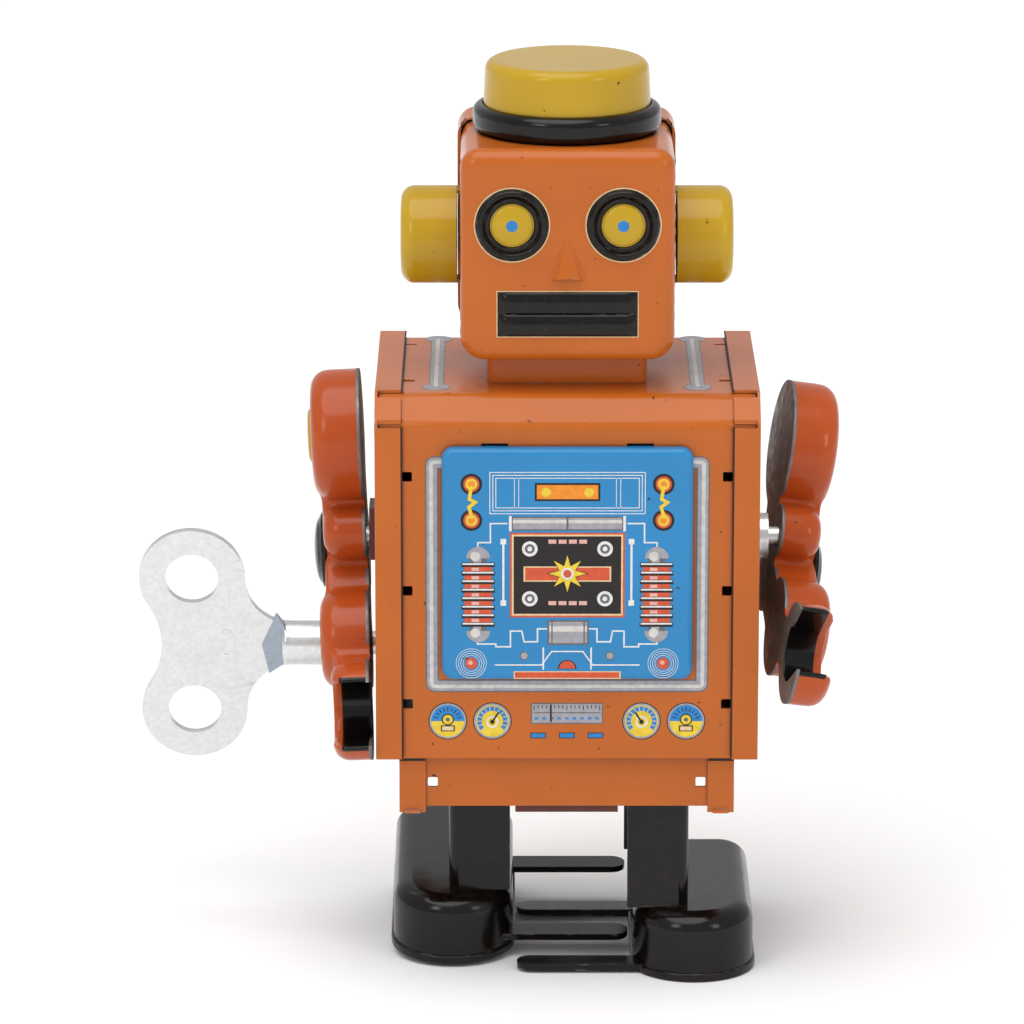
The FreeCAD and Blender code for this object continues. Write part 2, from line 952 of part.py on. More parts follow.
def arm_solid(name, side, sign, inset, start, rounding):
    """The lobed pressing as a solid, shrunk by an inset, from a distance out of its plane."""
    lobes = []
    for lobe, (forward, up, radius, depth) in ARM_LOBES.items():
        outer = depth - inset
        x_range = span(sign, start, outer)
        disc = rod(
            f"{name}_{lobe}_{side}", "x", (x_range[0], -forward, up), outer - start, radius - inset
        )
        face_x = number(outer) * sign
        lobes.append(
            rounded(
                f"{name}_{lobe}_round_{side}",
                disc,
                rounding,
                lambda b, x=face_x: b.XLength < 1e-3 and abs(b.XMax - x) < 1e-3,
            )
        )
    for first, second, width, depth in ARM_BRIDGES:
        a = ARM_LOBES[first]
        b = ARM_LOBES[second]
        run = math.hypot(b[0] - a[0], b[1] - a[1])
        slope = math.degrees(math.atan2(b[1] - a[1], -(b[0] - a[0])))
        half = width / 2 - inset
        outer = depth - inset
        bridge = doc.addObject("Part::Box", f"{name}_{first}_bridge_{side}")
        bind(bridge, "Length", outer - start)
        bind(bridge, "Width", run)
        bind(bridge, "Height", half * 2)
        turn = Rotation(Vector(1, 0, 0), slope)
        corner = turn.multVec(Vector(0, 0, -number(half)))
        place(
            bridge,
            span(sign, start, outer)[0],
            -a[0] + corner.y,
            a[1] + corner.z,
            turn,
        )
        lobes.append(bridge)
    return fuse(f"{name}_{side}", lobes)


def claw_opening(name, side, sign):
    """The claw's mouth: a round bottom, and straight walls that flare a little."""
    forward, up, radius, _ = ARM_LOBES["hand"]
    deepest = 9.0
    x_range = span(sign, -OVER, deepest)
    length = x_range[1] - x_range[0]
    hole = rod(f"{name}_round_{side}", "x", (x_range[0], -forward, up), length, D.claw_gap)
    gap = number(D.claw_gap)
    reach = radius + OVER * 3
    angle = math.radians(CLAW_DIRECTION)
    along = (math.cos(angle), math.sin(angle))
    corners = []
    for distance, half in (
        (0.0, gap),
        (reach, gap + number(D.claw_flare)),
        (reach, -gap - number(D.claw_flare)),
        (0.0, -gap),
    ):
        corners.append(
            (
                -forward - distance * along[0] + half * along[1],
                up + distance * along[1] + half * along[0],
            )
        )
    mouth = prism(f"{name}_mouth_{side}", "YZ_Plane", corners, length, x=x_range[0])
    return [hole, mouth]


def arm_placement(side, sign):
    """Rest position: the arm leans out, turns a little and is swung about its shaft."""
    roll = getattr(D, f"arm_{side}_roll")
    yaw = getattr(D, f"arm_{side}_yaw")
    turn = Rotation(Vector(0, 0, 1), number(yaw) * sign).multiply(
        Rotation(Vector(0, 1, 0), number(roll) * sign)
    )
    return turn.multiply(Rotation(Vector(1, 0, 0), number(D.arm_swing) * -sign))


def build_arm(side, sign):
    plate_x = getattr(D, f"arm_{side}_plate")
    rotation = arm_placement(side, sign)
    where = {"x": plate_x * sign, "z": D.arm_z, "rotation": rotation}
    sheet = D.tin

    outside = arm_solid("arm_outside", side, sign, 0.0, sheet, ARM_EDGE)
    inside = arm_solid("arm_inside", side, sign, sheet, sheet - SLIVER, ARM_EDGE - sheet)
    shell = cut(f"arm_pressing_{side}", outside, [inside] + claw_opening("claw", side, sign))
    _, _, _, depth = ARM_LOBES["shoulder"]
    disc_x = span(sign, depth - SUNK, depth + DISC_PROUD)
    forward, up, _, _ = ARM_LOBES["shoulder"]
    disc = rod(
        f"shoulder_disc_{side}",
        "x",
        (disc_x[0], -forward, up),
        DISC_PROUD + SUNK,
        D.disc_radius,
    )
    forward, up, _, depth = ARM_LOBES["elbow"]
    boss_x = span(sign, depth - SUNK, depth + BOSS_PROUD)
    boss_length = BOSS_PROUD + SUNK
    boss = rounded(
        f"elbow_boss_round_{side}",
        rod(f"elbow_boss_{side}", "x", (boss_x[0], -forward, up), boss_length, D.boss_radius),
        BOSS_EDGE,
        lambda b: b.XLength < 1e-3 and abs(b.XMax * sign - (depth + BOSS_PROUD)) < 1e-3,
    )
    arm = fuse(f"ArmShell_{side}", [shell, disc, boss])
    place(arm, **where)
    node(f"arm_shell_{side}", arm)

    flat = arm_solid("arm_flat", side, sign, 0.0, 0.0, SLIVER)
    space = 40.0
    trim_depth = 12.0
    trim = block(
        f"arm_flat_trim_{side}", span(sign, sheet, trim_depth), (-space, space), (-space, space)
    )
    bore_x = span(sign, -OVER, OVER * 2)
    bore_radius = D.arm_shaft_radius + D.fit * 3
    bore = rod(f"arm_bore_{side}", "x", (bore_x[0], 0.0, 0.0), OVER * 3, bore_radius)
    plate = cut(f"ArmPlate_{side}", flat, [trim, bore] + claw_opening("plate_claw", side, sign))
    place(plate, **where)
    node(f"arm_plate_{side}", plate)


def build_arm_crank(side, sign):
    """Shaft, lever and pin: the leg strap pushes the pin and swings the arm."""
    swing = math.radians(number(D.arm_swing)) * -sign
    pin_y = number(D.arm_lever) * math.sin(swing)
    pin_z = number(D.arm_z) - number(D.arm_lever) * math.cos(swing)
    plate_x = getattr(D, f"arm_{side}_plate")
    shaft_x = span(sign, D.arm_lever_x, plate_x + D.tin)
    shaft = rod(
        f"arm_shaft_{side}",
        "x",
        (shaft_x[0], 0.0, D.arm_z),
        plate_x + D.tin - D.arm_lever_x,
        D.arm_shaft_radius,
    )
    lever_x = span(sign, D.arm_lever_x, D.arm_lever_x + D.lever_sheet)[0]
    hub = rod(f"lever_hub_{side}", "x", (lever_x, 0.0, D.arm_z), D.lever_sheet, D.lever_hub)
    toe = rod(f"lever_toe_{side}", "x", (lever_x, pin_y, pin_z), D.lever_sheet, D.lever_toe)
    web = doc.addObject("Part::Box", f"lever_web_{side}")
    bind(web, "Length", D.lever_sheet)
    bind(web, "Width", D.lever_toe * 2)
    bind(web, "Height", D.arm_lever)
    turn = Rotation(Vector(1, 0, 0), math.degrees(swing) + 180)
    corner = turn.multVec(Vector(0, -number(D.lever_toe), 0))
    place(web, lever_x, corner.y, D.arm_z + corner.z, turn)
    pin_x = span(sign, D.lever_pin_end, D.arm_lever_x)
    pin_length = D.arm_lever_x - D.lever_pin_end
    pin = rod(
        f"lever_pin_{side}", "x", (pin_x[0], pin_y, pin_z), pin_length, D.lever_pin_radius
    )
    node(f"arm_crank_{side}", fuse(f"ArmCrank_{side}", [shaft, hub, toe, web, pin]))

    inside_x = D.body_half_width - D.bush_inside
    outside_x = plate_x - getattr(D, f"bush_{side}_gap")
    bush_x = span(sign, inside_x, outside_x)
    tube = rod(
        f"bush_tube_{side}", "x", (bush_x[0], 0.0, D.arm_z), outside_x - inside_x, D.bush_radius
    )
    collar_x = span(sign, D.body_half_width, outside_x)
    if side == "left":
        collar = block(
            "bush_block",
            collar_x,
            (-D.bush_block_half, D.bush_block_half),
            (D.arm_z - D.bush_block_below, D.arm_z + D.bush_block_above),
        )
    else:
        collar = rod(
            "bush_collar",
            "x",
            (collar_x[0], 0.0, D.arm_z),
            outside_x - D.body_half_width,
            D.collar_radius,
        )
    bore_start = 18.0
    bore_length = 10.0
    bore = rod(
        f"bush_bore_{side}",
        "x",
        (span(sign, bore_start, bore_start + bore_length)[0], 0.0, D.arm_z),
        bore_length,
        D.arm_shaft_radius + D.fit,
    )
    node(f"arm_bush_{side}", cut(f"ArmBush_{side}", fuse(f"bush_{side}", [tube, collar]), [bore]))


# ---------------------------------------------------------------- legs and feet


def build_hip_axle():
    head = 0.4
    half = D.body_half_width + head
    axle = rod("axle_bar", "x", (-half, 0.0, D.hip_z), half * 2, D.hip_radius)
    heads = [
        rod(
            f"axle_head_{side}",
            "x",
            (span(sign, D.body_half_width, half)[0], 0.0, D.hip_z),
            head,
            D.hip_radius + 0.5,
        )
        for side, sign in SIDES.items()
    ]
    node("hip_axle", fuse("HipAxle", [axle] + heads))


def leg_placement(side):
    """Rest position of a leg drawn with its foot flat and forward: the left one is swung back."""
    if side == "right":
        return {}
    turn = Rotation(Vector(1, 0, 0), number(D.leg_swing))
    hip = Vector(0, 0, number(D.hip_z))
    moved = hip - turn.multVec(hip)
    return {"y": moved.y, "z": moved.z + number(D.leg_lift), "rotation": turn}


def build_leg(side, sign):
    outer = getattr(D, f"leg_{side}_outer")
    inner = getattr(D, f"leg_{side}_inner")
    low = D.foot_top
    web_x = span(sign, outer - D.leg_sheet, outer)
    channel = block(
        f"leg_solid_{side}",
        span(sign, inner, outer),
        (-D.leg_front, D.leg_back),
        (low, D.leg_channel_top),
    )
    outer_edge = number(outer) * sign
    bent = rounded(
        f"leg_bent_{side}",
        channel,
        D.leg_bend,
        lambda b: b.XLength < 1e-3 and b.YLength < 1e-3 and abs(b.XMax - outer_edge) < 1e-3,
    )
    hollow = block(
        f"leg_hollow_{side}",
        span(sign, inner, outer - D.leg_sheet),
        (-(D.leg_front - D.leg_sheet), D.leg_back - D.leg_sheet),
        (low - OVER, D.leg_channel_top + OVER),
    )
    lap = 3.0
    strap = block(
        f"leg_strap_{side}",
        web_x,
        (-D.leg_strap_front, D.leg_strap_back),
        (D.leg_channel_top - lap, D.leg_strap_top),
    )
    drill = 10.0
    through = span(sign, drill, drill * 2)
    hip_low = D.hip_z - D.leg_lift - D.fit * 2
    lever_y = -number(D.arm_lever) * math.sin(math.radians(number(D.arm_swing)))
    openings = [
        block(
            f"crank_window_{side}",
            through,
            (-D.crank_window_front, D.crank_window_back),
            (D.crank_window_low, D.crank_window_high),
        ),
        block(
            f"arm_slot_{side}",
            through,
            (lever_y - D.arm_slot_half, lever_y + D.arm_slot_half),
            (D.arm_slot_low, D.arm_slot_high),
        ),
        block(
            f"hip_slot_{side}",
            through,
            (-(D.hip_radius + D.hip_play), D.hip_radius + D.hip_play),
            (hip_low, D.hip_z),
        ),
        rod(
            f"hip_slot_top_{side}",
            "x",
            (through[0], 0.0, D.hip_z),
            drill,
            D.hip_radius + D.hip_play,
        ),
        rod(
            f"hip_slot_low_{side}",
            "x",
            (through[0], 0.0, hip_low),
            drill,
            D.hip_radius + D.hip_play,
        ),
    ]
    sheet = fuse(f"leg_sheet_{side}", [cut(f"leg_channel_blank_{side}", bent, [hollow]), strap])
    leg = cut(f"Leg_{side}", sheet, openings)
    place(leg, **leg_placement(side))
    node(f"leg_{side}", leg)


def pill(name, x, radius, toe, heel, corner, low, high):
    """An upright solid with a round toe and a straight heel with rounded corners."""
    tall = high - low
    straight = heel - corner
    inner = radius - corner
    parts = [
        block(name + "_middle", (x - radius, x + radius), (-(toe - radius), straight), (low, high)),
        rod(name + "_toe", "z", (x, -(toe - radius), low), tall, radius),
        block(name + "_heel", (x - inner, x + inner), (0.0, heel), (low, high)),
    ]
    for way in (-1, 1):
        centre = (x + inner * way, straight, low)
        parts.append(rod(f"{name}_corner_{way}", "z", centre, tall, corner))
    return fuse(name, parts)


def build_foot(side, sign):
    x = getattr(D, f"foot_{side}_x")
    rim = D.sole_rim
    radius = D.foot_radius - rim
    toe = D.foot_toe - rim
    heel = D.foot_heel - rim
    corner = D.foot_heel_corner - rim
    sheet = D.tin
    top = number(D.foot_top)

    outside = rounded(
        f"upper_outside_round_{side}",
        pill(f"upper_outside_{side}", x, radius, toe, heel, corner, sheet, D.foot_top),
        D.foot_edge,
        lambda b: b.ZLength < 1e-3 and abs(b.ZMax - top) < 1e-3,
    )
    inside_top = top - number(sheet)
    inside = rounded(
        f"upper_inside_round_{side}",
        pill(
            f"upper_inside_{side}",
            x,
            radius - sheet,
            toe - sheet,
            heel - sheet,
            corner - sheet,
            0.0,
            D.foot_top - sheet,
        ),
        D.foot_edge - sheet,
        lambda b: b.ZLength < 1e-3 and abs(b.ZMax - inside_top) < 1e-3,
    )
    z = getattr(D, f"prong_{side}_z")
    tip = getattr(D, f"prong_{side}_tip")
    slots = []
    bars = []
    centres = (-(D.foot_toe - D.prong_front), -(D.foot_toe - D.prong_back))
    half = D.prong_width / 2
    slot_inner = -4.0
    for index, y in enumerate(centres):
        slots.append(
            block(
                f"prong_slot_{side}_{index}",
                span(sign, slot_inner, x * sign),
                (y - half - D.fit, y + half + D.fit),
                (z - D.fit, z + D.prong_sheet + D.fit),
            )
        )
        blunt = (tip + half) if side == "right" else (tip - half)
        straight_x = (blunt, x) if side == "right" else (x, blunt)
        bars.append(
            block(
                f"prong_bar_{side}_{index}", straight_x, (y - half, y + half), (z, z + D.prong_sheet)
            )
        )
        bars.append(
            rod(f"prong_end_{side}_{index}", "z", (blunt, y, z), D.prong_sheet, half)
        )
    root_x = span(sign, x * sign - OVER, x * sign + OVER * 3)
    bars.append(
        block(
            f"prong_root_{side}",
            root_x,
            (centres[0] - half, centres[1] + half),
            (sheet, z + D.prong_sheet),
        )
    )
    upper = cut(f"FootUpper_{side}", outside, [inside] + slots)
    rim_outer = pill(
        f"rim_outer_{side}",
        x,
        D.foot_radius,
        D.foot_toe,
        D.foot_heel,
        D.foot_heel_corner,
        0.0,
        D.sole_rim_height,
    )
    rim_round = rounded(
        f"rim_round_{side}",
        rim_outer,
        D.sole_edge,
        lambda b: b.ZLength < 1e-3,
    )
    rim_inner = pill(
        f"rim_inner_{side}", x, radius, toe, heel, corner, sheet, D.sole_rim_height + OVER
    )
    through_sole = [] if side == "left" else slots_copy(slots)
    sole = cut(f"FootSole_{side}", rim_round, [rim_inner] + through_sole)
    prongs = fuse(f"FootProngs_{side}", bars)
    for label, piece in (("foot_upper", upper), ("foot_sole", sole), ("foot_prongs", prongs)):
        place(piece, **leg_placement(side))
        node(f"{label}_{side}", piece)


def slots_copy(slots):
    """The same openings again, for a second sheet that they pass through."""
    copies = []
    for slot in slots:
        copy = doc.addObject("Part::Box", slot.Name + "_again")
        for prop in ("Length", "Width", "Height"):
            copy.setExpression(prop, f"{slot.Name}.{prop}")
        copy.setExpression("Placement", f"{slot.Name}.Placement")
        copies.append(copy)
    return copies


# ---------------------------------------------------------------- motor

PRESSURE_ANGLE = math.radians(28)
BACKLASH = 0.07
WHEEL_ADDENDUM = 0.8
PINION_ADDENDUM = 0.875
DEDENDUM = 1.125

# where the pinions of the crank and the escapement lie along their arbors
DRIVEN_X = 2.1
DRIVEN_WIDTH = 1.2

GREAT_TEETH = 40
SECOND_TEETH = 36
PINION_TEETH = 8
ESCAPE_TEETH = 12
RATCHET_TEETH = 16


def pitch_radius(teeth):
    return number(D.gear_module) * teeth / 2


def meeting_point(first, second, first_distance, second_distance, way):
    """The point at two distances from two centres, on one side of the line between them."""
    gap = math.hypot(second[0] - first[0], second[1] - first[1])
    along = (first_distance**2 - second_distance**2 + gap**2) / (2 * gap)
    off = math.sqrt(first_distance**2 - along**2) * way
    unit = ((second[0] - first[0]) / gap, (second[1] - first[1]) / gap)
    return (
        first[0] + along * unit[0] - off * unit[1],
        first[1] + along * unit[1] + off * unit[0],
    )


def direction(first, second):
    return math.atan2(second[1] - first[1], second[0] - first[0])


WINDING = (number(D.arbor_y), number(D.arbor_z))
CRANK = (0.0, number(D.crank_z))
PINION_PITCH = pitch_radius(PINION_TEETH)
GREAT_DISTANCE = pitch_radius(GREAT_TEETH) + PINION_PITCH
SECOND_DISTANCE = pitch_radius(SECOND_TEETH) + PINION_PITCH
SECOND = meeting_point(CRANK, WINDING, SECOND_DISTANCE, GREAT_DISTANCE, 1)
ESCAPE_ANGLE = math.radians(165)
ESCAPE = (
    SECOND[0] + SECOND_DISTANCE * math.cos(ESCAPE_ANGLE),
    SECOND[1] + SECOND_DISTANCE * math.sin(ESCAPE_ANGLE),
)
VERGE = (ESCAPE[0], ESCAPE[1] + 5.26)


def tooth_half_angle(radius, teeth):
    """Half the angle of an involute tooth at a radius."""
    pitch = pitch_radius(teeth)
    base = pitch * math.cos(PRESSURE_ANGLE)
    thickness = math.pi * number(D.gear_module) / 2 - BACKLASH
    involute = math.tan(PRESSURE_ANGLE) - PRESSURE_ANGLE
    lean = math.acos(min(1.0, base / radius))
    return thickness / (2 * pitch) + involute - (math.tan(lean) - lean)


def gear(teeth, addendum, phase, x, width, centre, bore):
    """An involute gear with one tooth at the angle phase, as a solid from x."""
    module = number(D.gear_module)
    pitch = pitch_radius(teeth)
    base = pitch * math.cos(PRESSURE_ANGLE)
    tip = pitch + addendum * module
    root = pitch - DEDENDUM * module
    start = max(base, root)
    steps = 3
    flank = [start + (tip - start) * step / steps for step in range(steps + 1)]
    if root < base:
        flank = [root] + flank
    points = []
    for tooth in range(teeth):
        middle = phase + 2 * math.pi * tooth / teeth
        rising = [(r, middle - tooth_half_angle(max(r, base), teeth)) for r in flank]
        falling = [(r, middle + tooth_half_angle(max(r, base), teeth)) for r in reversed(flank)]
        points += rising + falling
    return disc_of(points, x, width, centre, bore)


def disc_of(points, x, width, centre, bore):
    """A flat wheel from polar points, with a bore."""
    ring = [
        Vector(x, centre[0] + r * math.cos(a), centre[1] + r * math.sin(a)) for r, a in points
    ]
    wheel = Part.Face(Part.makePolygon(ring + [ring[0]])).extrude(Vector(width, 0, 0))
    hole = Part.makeCylinder(bore, width + 2, Vector(x - 1, *centre), Vector(1, 0, 0))
    return wheel.cut(hole)


def lightened(wheel, x, width, centre, holes, distance, radius):
    """A wheel with a ring of round holes."""
    for index in range(holes):
        angle = 2 * math.pi * (index + 0.5) / holes
        spot = Vector(
            x - 1, centre[0] + distance * math.cos(angle), centre[1] + distance * math.sin(angle)
        )
        wheel = wheel.cut(Part.makeCylinder(radius, width + 2, spot, Vector(1, 0, 0)))
    return wheel


def gear_phases():
    """Angles that put a tooth of each wheel into a gap of each pinion."""
    second_pinion = direction(SECOND, WINDING) + math.pi / PINION_TEETH
    great = direction(WINDING, SECOND)
    second = direction(SECOND, CRANK)
    crank = direction(CRANK, SECOND) + math.pi / PINION_TEETH
    step = 2 * math.pi / SECOND_TEETH
    offset = (direction(SECOND, ESCAPE) - second) / step
    miss = (offset - round(offset)) * step * pitch_radius(SECOND_TEETH) / PINION_PITCH
    escape = direction(ESCAPE, SECOND) + math.pi / PINION_TEETH + miss
    return great, second_pinion, second, crank, escape


def build_motor_frame():
    inner = D.motor_half_width - D.motor_sheet
    for side, sign in SIDES.items():
        plate = block(
            f"motor_blank_{side}",
            span(sign, inner, D.motor_half_width),
            (-D.motor_half_depth, D.motor_half_depth),
            (D.motor_bottom, D.motor_top),
        )
        corners = rounded(
            f"motor_corners_{side}",
            plate,
            D.motor_corner,
            lambda b: b.YLength < 1e-3 and b.ZLength < 1e-3,
        )
        bores = [
            (WINDING, D.arbor_radius),
            (SECOND, D.second_radius),
            (CRANK, D.crank_radius),
            (ESCAPE, D.second_radius),
            (VERGE, D.second_radius),
        ]
        x = span(sign, number(inner) - OVER, number(D.motor_half_width) + OVER)[0]
        holes = [
            rod(f"motor_bore_{side}_{index}", "x", (x, *spot), OVER * 3, radius + D.fit)
            for index, (spot, radius) in enumerate(bores)
        ]
        node(f"motor_plate_{side}", cut(f"MotorPlate_{side}", corners, holes))
    pillars = []
    for level, z in (("low", D.pillar_low), ("high", D.pillar_high)):
        for way in (-1, 1):
            start = (-inner, D.pillar_y * way, z)
            pillars.append(rod(f"pillar_{level}_{way}", "x", start, inner * 2, D.pillar_radius))
    node("motor_pillars", solid_group("MotorPillars", pillars))
    bottom = D.motor_bottom - D.motor_sheet
    foot = block(
        "motor_foot_bar",
        (-D.motor_half_width, D.motor_half_width),
        (-D.pillar_y, D.pillar_y),
        (bottom, D.motor_bottom),
    )
    holes = [
        rod(
            f"motor_foot_hole_{way}",
            "z",
            (0.0, D.screw_y * way, bottom - OVER),
            OVER * 3,
            D.screw_radius + D.fit,
        )
        for way in (-1, 1)
    ]
    node("motor_foot", cut("MotorFoot", foot, holes))


def solid_group(name, shapes):
    group = doc.addObject("Part::Compound", name)
    group.Links = shapes
    return group


def build_winding_arbor(great_phase):
    start = -(D.key_shank_end - D.key_bore_floor - D.fit)
    arbor = rod(
        "WindingArbor",
        "x",
        (start, D.arbor_y, D.arbor_z),
        D.motor_half_width - start,
        D.arbor_radius,
    )
    node("winding_arbor", arbor)
    bore = number(D.arbor_radius)
    x, width = 3.4, 1.4
    wheel = gear(GREAT_TEETH, WHEEL_ADDENDUM, great_phase, x, width, WINDING, bore)
    spokes, hole_distance, hole_radius = 5, 4.9, 1.5
    wheel = lightened(wheel, x, width, WINDING, spokes, hole_distance, hole_radius)
    node("great_wheel", formed("GreatWheel", wheel))

    tip, root, undercut = 4.2, 3.5, 0.02
    points = []
    for tooth in range(RATCHET_TEETH):
        angle = 2 * math.pi * tooth / RATCHET_TEETH
        points += [(tip, angle), (root, angle + undercut)]
    face = x + width
    thick = 0.6
    ratchet = disc_of(points, face + number(D.fit), thick, WINDING, bore)
    node("ratchet_wheel", formed("RatchetWheel", ratchet))

    click_height, eye_radius, stud_radius = 6.0, 1.1, 0.6
    pivot = (WINDING[0], WINDING[1] + click_height)
    pawl = rod("click_eye", "x", (face, *pivot), thick, eye_radius)
    stud = rod("click_stud", "x", (face, *pivot), thick + 0.1, stud_radius)
    arm = prism(
        "click_arm",
        "YZ_Plane",
        [
            (pivot[0] + 0.2, pivot[1] + 1.0),
            (pivot[0] - 4.4, pivot[1] - 2.6),
            (pivot[0] - 3.4, pivot[1] - 3.3),
            (pivot[0] + 0.2, pivot[1] - 1.0),
        ],
        thick,
        x=face,
    )
    node("click", fuse("Click", [pawl, stud, arm]))


def build_second_arbor(pinion_phase, wheel_phase):
    inner = D.motor_half_width
    node(
        "second_arbor",
        rod("SecondArbor", "x", (-inner, *SECOND), inner * 2, D.second_radius),
    )
    bore = number(D.second_radius)
    pinion_x, pinion_width = 3.1, 2.0
    pinion = gear(PINION_TEETH, PINION_ADDENDUM, pinion_phase, pinion_x, pinion_width, SECOND, bore)
    node("second_pinion", formed("SecondPinion", pinion))
    x, width = 2.3, 0.8
    wheel = gear(SECOND_TEETH, WHEEL_ADDENDUM, wheel_phase, x, width, SECOND, bore)
    spokes, hole_distance, hole_radius = 4, 4.2, 1.6
    wheel = lightened(wheel, x, width, SECOND, spokes, hole_distance, hole_radius)
    node("second_wheel", formed("SecondWheel", wheel))


def build_crank(pinion_phase):
    half = D.motor_half_width + 0.5
    node("crank_axle", rod("CrankAxle", "x", (-half, *CRANK), half * 2, D.crank_radius))
    pinion = gear(
        PINION_TEETH,
        PINION_ADDENDUM,
        pinion_phase,
        DRIVEN_X,
        DRIVEN_WIDTH,
        CRANK,
        number(D.crank_radius),
    )
    node("crank_pinion", formed("CrankPinion", pinion))
    disc_width, disc_radius = 0.8, 2.6
    for side, sign in SIDES.items():
        disc_x = span(sign, half, half + disc_width)
        y = D.crank_throw * -sign
        disc = rod(f"crank_disc_{side}", "x", (disc_x[0], *CRANK), disc_width, disc_radius)
        reach = D.leg_right_outer + 0.6
        rooted = half + disc_width / 2
        pin_x = span(sign, rooted, reach)
        pin = rod(
            f"crank_pin_{side}",
            "x",
            (pin_x[0], y, D.crank_z),
            reach - rooted,
            D.crank_pin_radius,
        )
        node(f"crank_{side}", fuse(f"Crank_{side}", [disc, pin]))


def build_escapement(pinion_phase):
    inner = D.motor_half_width
    node(
        "escape_arbor",
        rod("EscapeArbor", "x", (-inner, *ESCAPE), inner * 2, D.second_radius),
    )
    bore = number(D.second_radius)
    pinion = gear(
        PINION_TEETH, PINION_ADDENDUM, pinion_phase, DRIVEN_X, DRIVEN_WIDTH, ESCAPE, bore
    )
    node("escape_pinion", formed("EscapePinion", pinion))
    tip = number(D.escape_radius)
    root, lead, trail = tip - 1.1, 0.14, 0.38
    points = []
    for tooth in range(ESCAPE_TEETH):
        angle = 2 * math.pi * tooth / ESCAPE_TEETH
        points += [(tip, angle), (root, angle + lead), (root, angle + trail)]
    wheel_x, width = -0.6, 0.8
    wheel = disc_of(points, wheel_x, width, ESCAPE, bore)
    node("escape_wheel", formed("EscapeWheel", wheel))

    arbor = rod("verge_arbor", "x", (-inner, *VERGE), inner * 2, D.second_radius)
    across = (wheel_x, wheel_x + width)
    y, z = VERGE
    bar_half, pallet_y, pallet_width, pallet_drop = 3.7, 3.4, 0.3, 2.7
    bar = block("verge_bar", across, (y - bar_half, y + bar_half), (z - 0.9, z + 2.6))
    pallets = []
    for way in (-1, 1):
        near = y + pallet_y * way
        far = near + pallet_width * way
        reach = (min(near, far), max(near, far))
        pallets.append(block(f"verge_pallet_{way}", across, reach, (z - pallet_drop, z)))
    node("verge", fuse("Verge", [arbor, bar] + pallets))


def build_mainspring():
    """A flat strip wound in a spiral, with both ends left free."""
    inner, pitch, turns, strip = 1.75, 0.8, 7.0, 0.3
    start_x, width = -5.0, 5.2
    steps_per_turn = 24
    count = int(turns * steps_per_turn)

    def spiral(offset):
        points = []
        for step in range(count + 1):
            angle = 2 * math.pi * step / steps_per_turn
            radius = inner + offset + pitch * step / steps_per_turn
            y = WINDING[0] + radius * math.cos(angle)
            z = WINDING[1] + radius * math.sin(angle)
            points.append(Vector(start_x, y, z))
        curve = Part.BSplineCurve()
        curve.interpolate(points)
        return curve.toShape(), points[0], points[-1]

    inside, inside_start, inside_end = spiral(0.0)
    outside, outside_start, outside_end = spiral(strip)
    wire = Part.Wire(
        [
            inside,
            Part.makeLine(inside_end, outside_end),
            outside,
            Part.makeLine(outside_start, inside_start),
        ]
    )
    node("mainspring", formed("Mainspring", Part.Face(wire).extrude(Vector(width, 0, 0))))


# ---------------------------------------------------------------- key


def build_key():
    x = -D.key_lobe_x
    half_sheet = D.key_sheet / 2
    lobe_x = number(D.key_lobe_x)
    lobe_z = number(D.key_lobe_z)
    lobe = number(D.key_lobe_radius)
    hub_x = number(D.key_hub_x)
    waist = number(D.key_waist)
    reach_y, tool = 4.0, 8.0
    bore_length = 20.0
    # the waist's arc touches both lobes, and each flare's arc touches a lobe and the shank
    waist_radius = (lobe_z**2 + waist**2 - lobe**2) / (2 * (lobe - waist))
    reach = lobe_x - hub_x
    shank = number(D.key_shank_radius)
    rise = shank - lobe_z
    flare = (reach**2 + rise**2 - lobe**2) / (2 * (lobe - rise))
    waist_x = lobe_x + waist + waist_radius
    share = lobe / (lobe + waist_radius)
    touch = (lobe_x + (waist + waist_radius) * share, lobe_z * (1 - share))
    plate = prism(
        "key_plate",
        "XZ_Plane",
        [
            (-touch[0], -touch[1]),
            (-lobe_x, -lobe_z),
            (-hub_x, -lobe_z),
            (-hub_x, lobe_z),
            (-lobe_x, lobe_z),
            (-touch[0], touch[1]),
        ],
        D.key_sheet,
        y=half_sheet,
    )
    lobes = []
    cuts = [
        rod("key_waist", "y", (-waist_x, -reach_y, 0.0), tool, waist_radius),
        rod(
            "key_bore",
            "x",
            (-D.key_shank_end + D.key_bore_floor, 0.0, 0.0),
            bore_length,
            D.arbor_radius + D.fit,
        ),
    ]
    for way in (-1, 1):
        z = D.key_lobe_z * way
        start = (x, -half_sheet, z)
        lobes.append(rod(f"key_lobe_{way}", "y", start, D.key_sheet, D.key_lobe_radius))
        cuts.append(rod(f"key_eye_{way}", "y", (x, -reach_y, z), tool, D.key_hole_radius))
    flares = [
        rod(f"key_flare_{way}", "y", (-hub_x, -reach_y, (shank + flare) * way), tool, flare)
        for way in (-1, 1)
    ]
    blade = cut("key_blade", fuse("key_blank", [plate] + lobes), flares)
    shank_tube = rod(
        "key_shank",
        "x",
        (-D.key_shank_end, 0.0, 0.0),
        D.key_shank_end - D.key_shank_start,
        D.key_shank_radius,
    )
    softened = rounded(
        "key_shank_round", shank_tube, 0.6, lambda b: b.XLength < 1e-3
    )
    key = cut("Key", fuse("key_joined", [blade, softened]), cuts)
    place(
        key,
        y=D.arbor_y,
        z=D.arbor_z,
        rotation=Rotation(Vector(1, 0, 0), number(D.key_tilt)),
    )
    node("key", key)


# ---------------------------------------------------------------- assembly


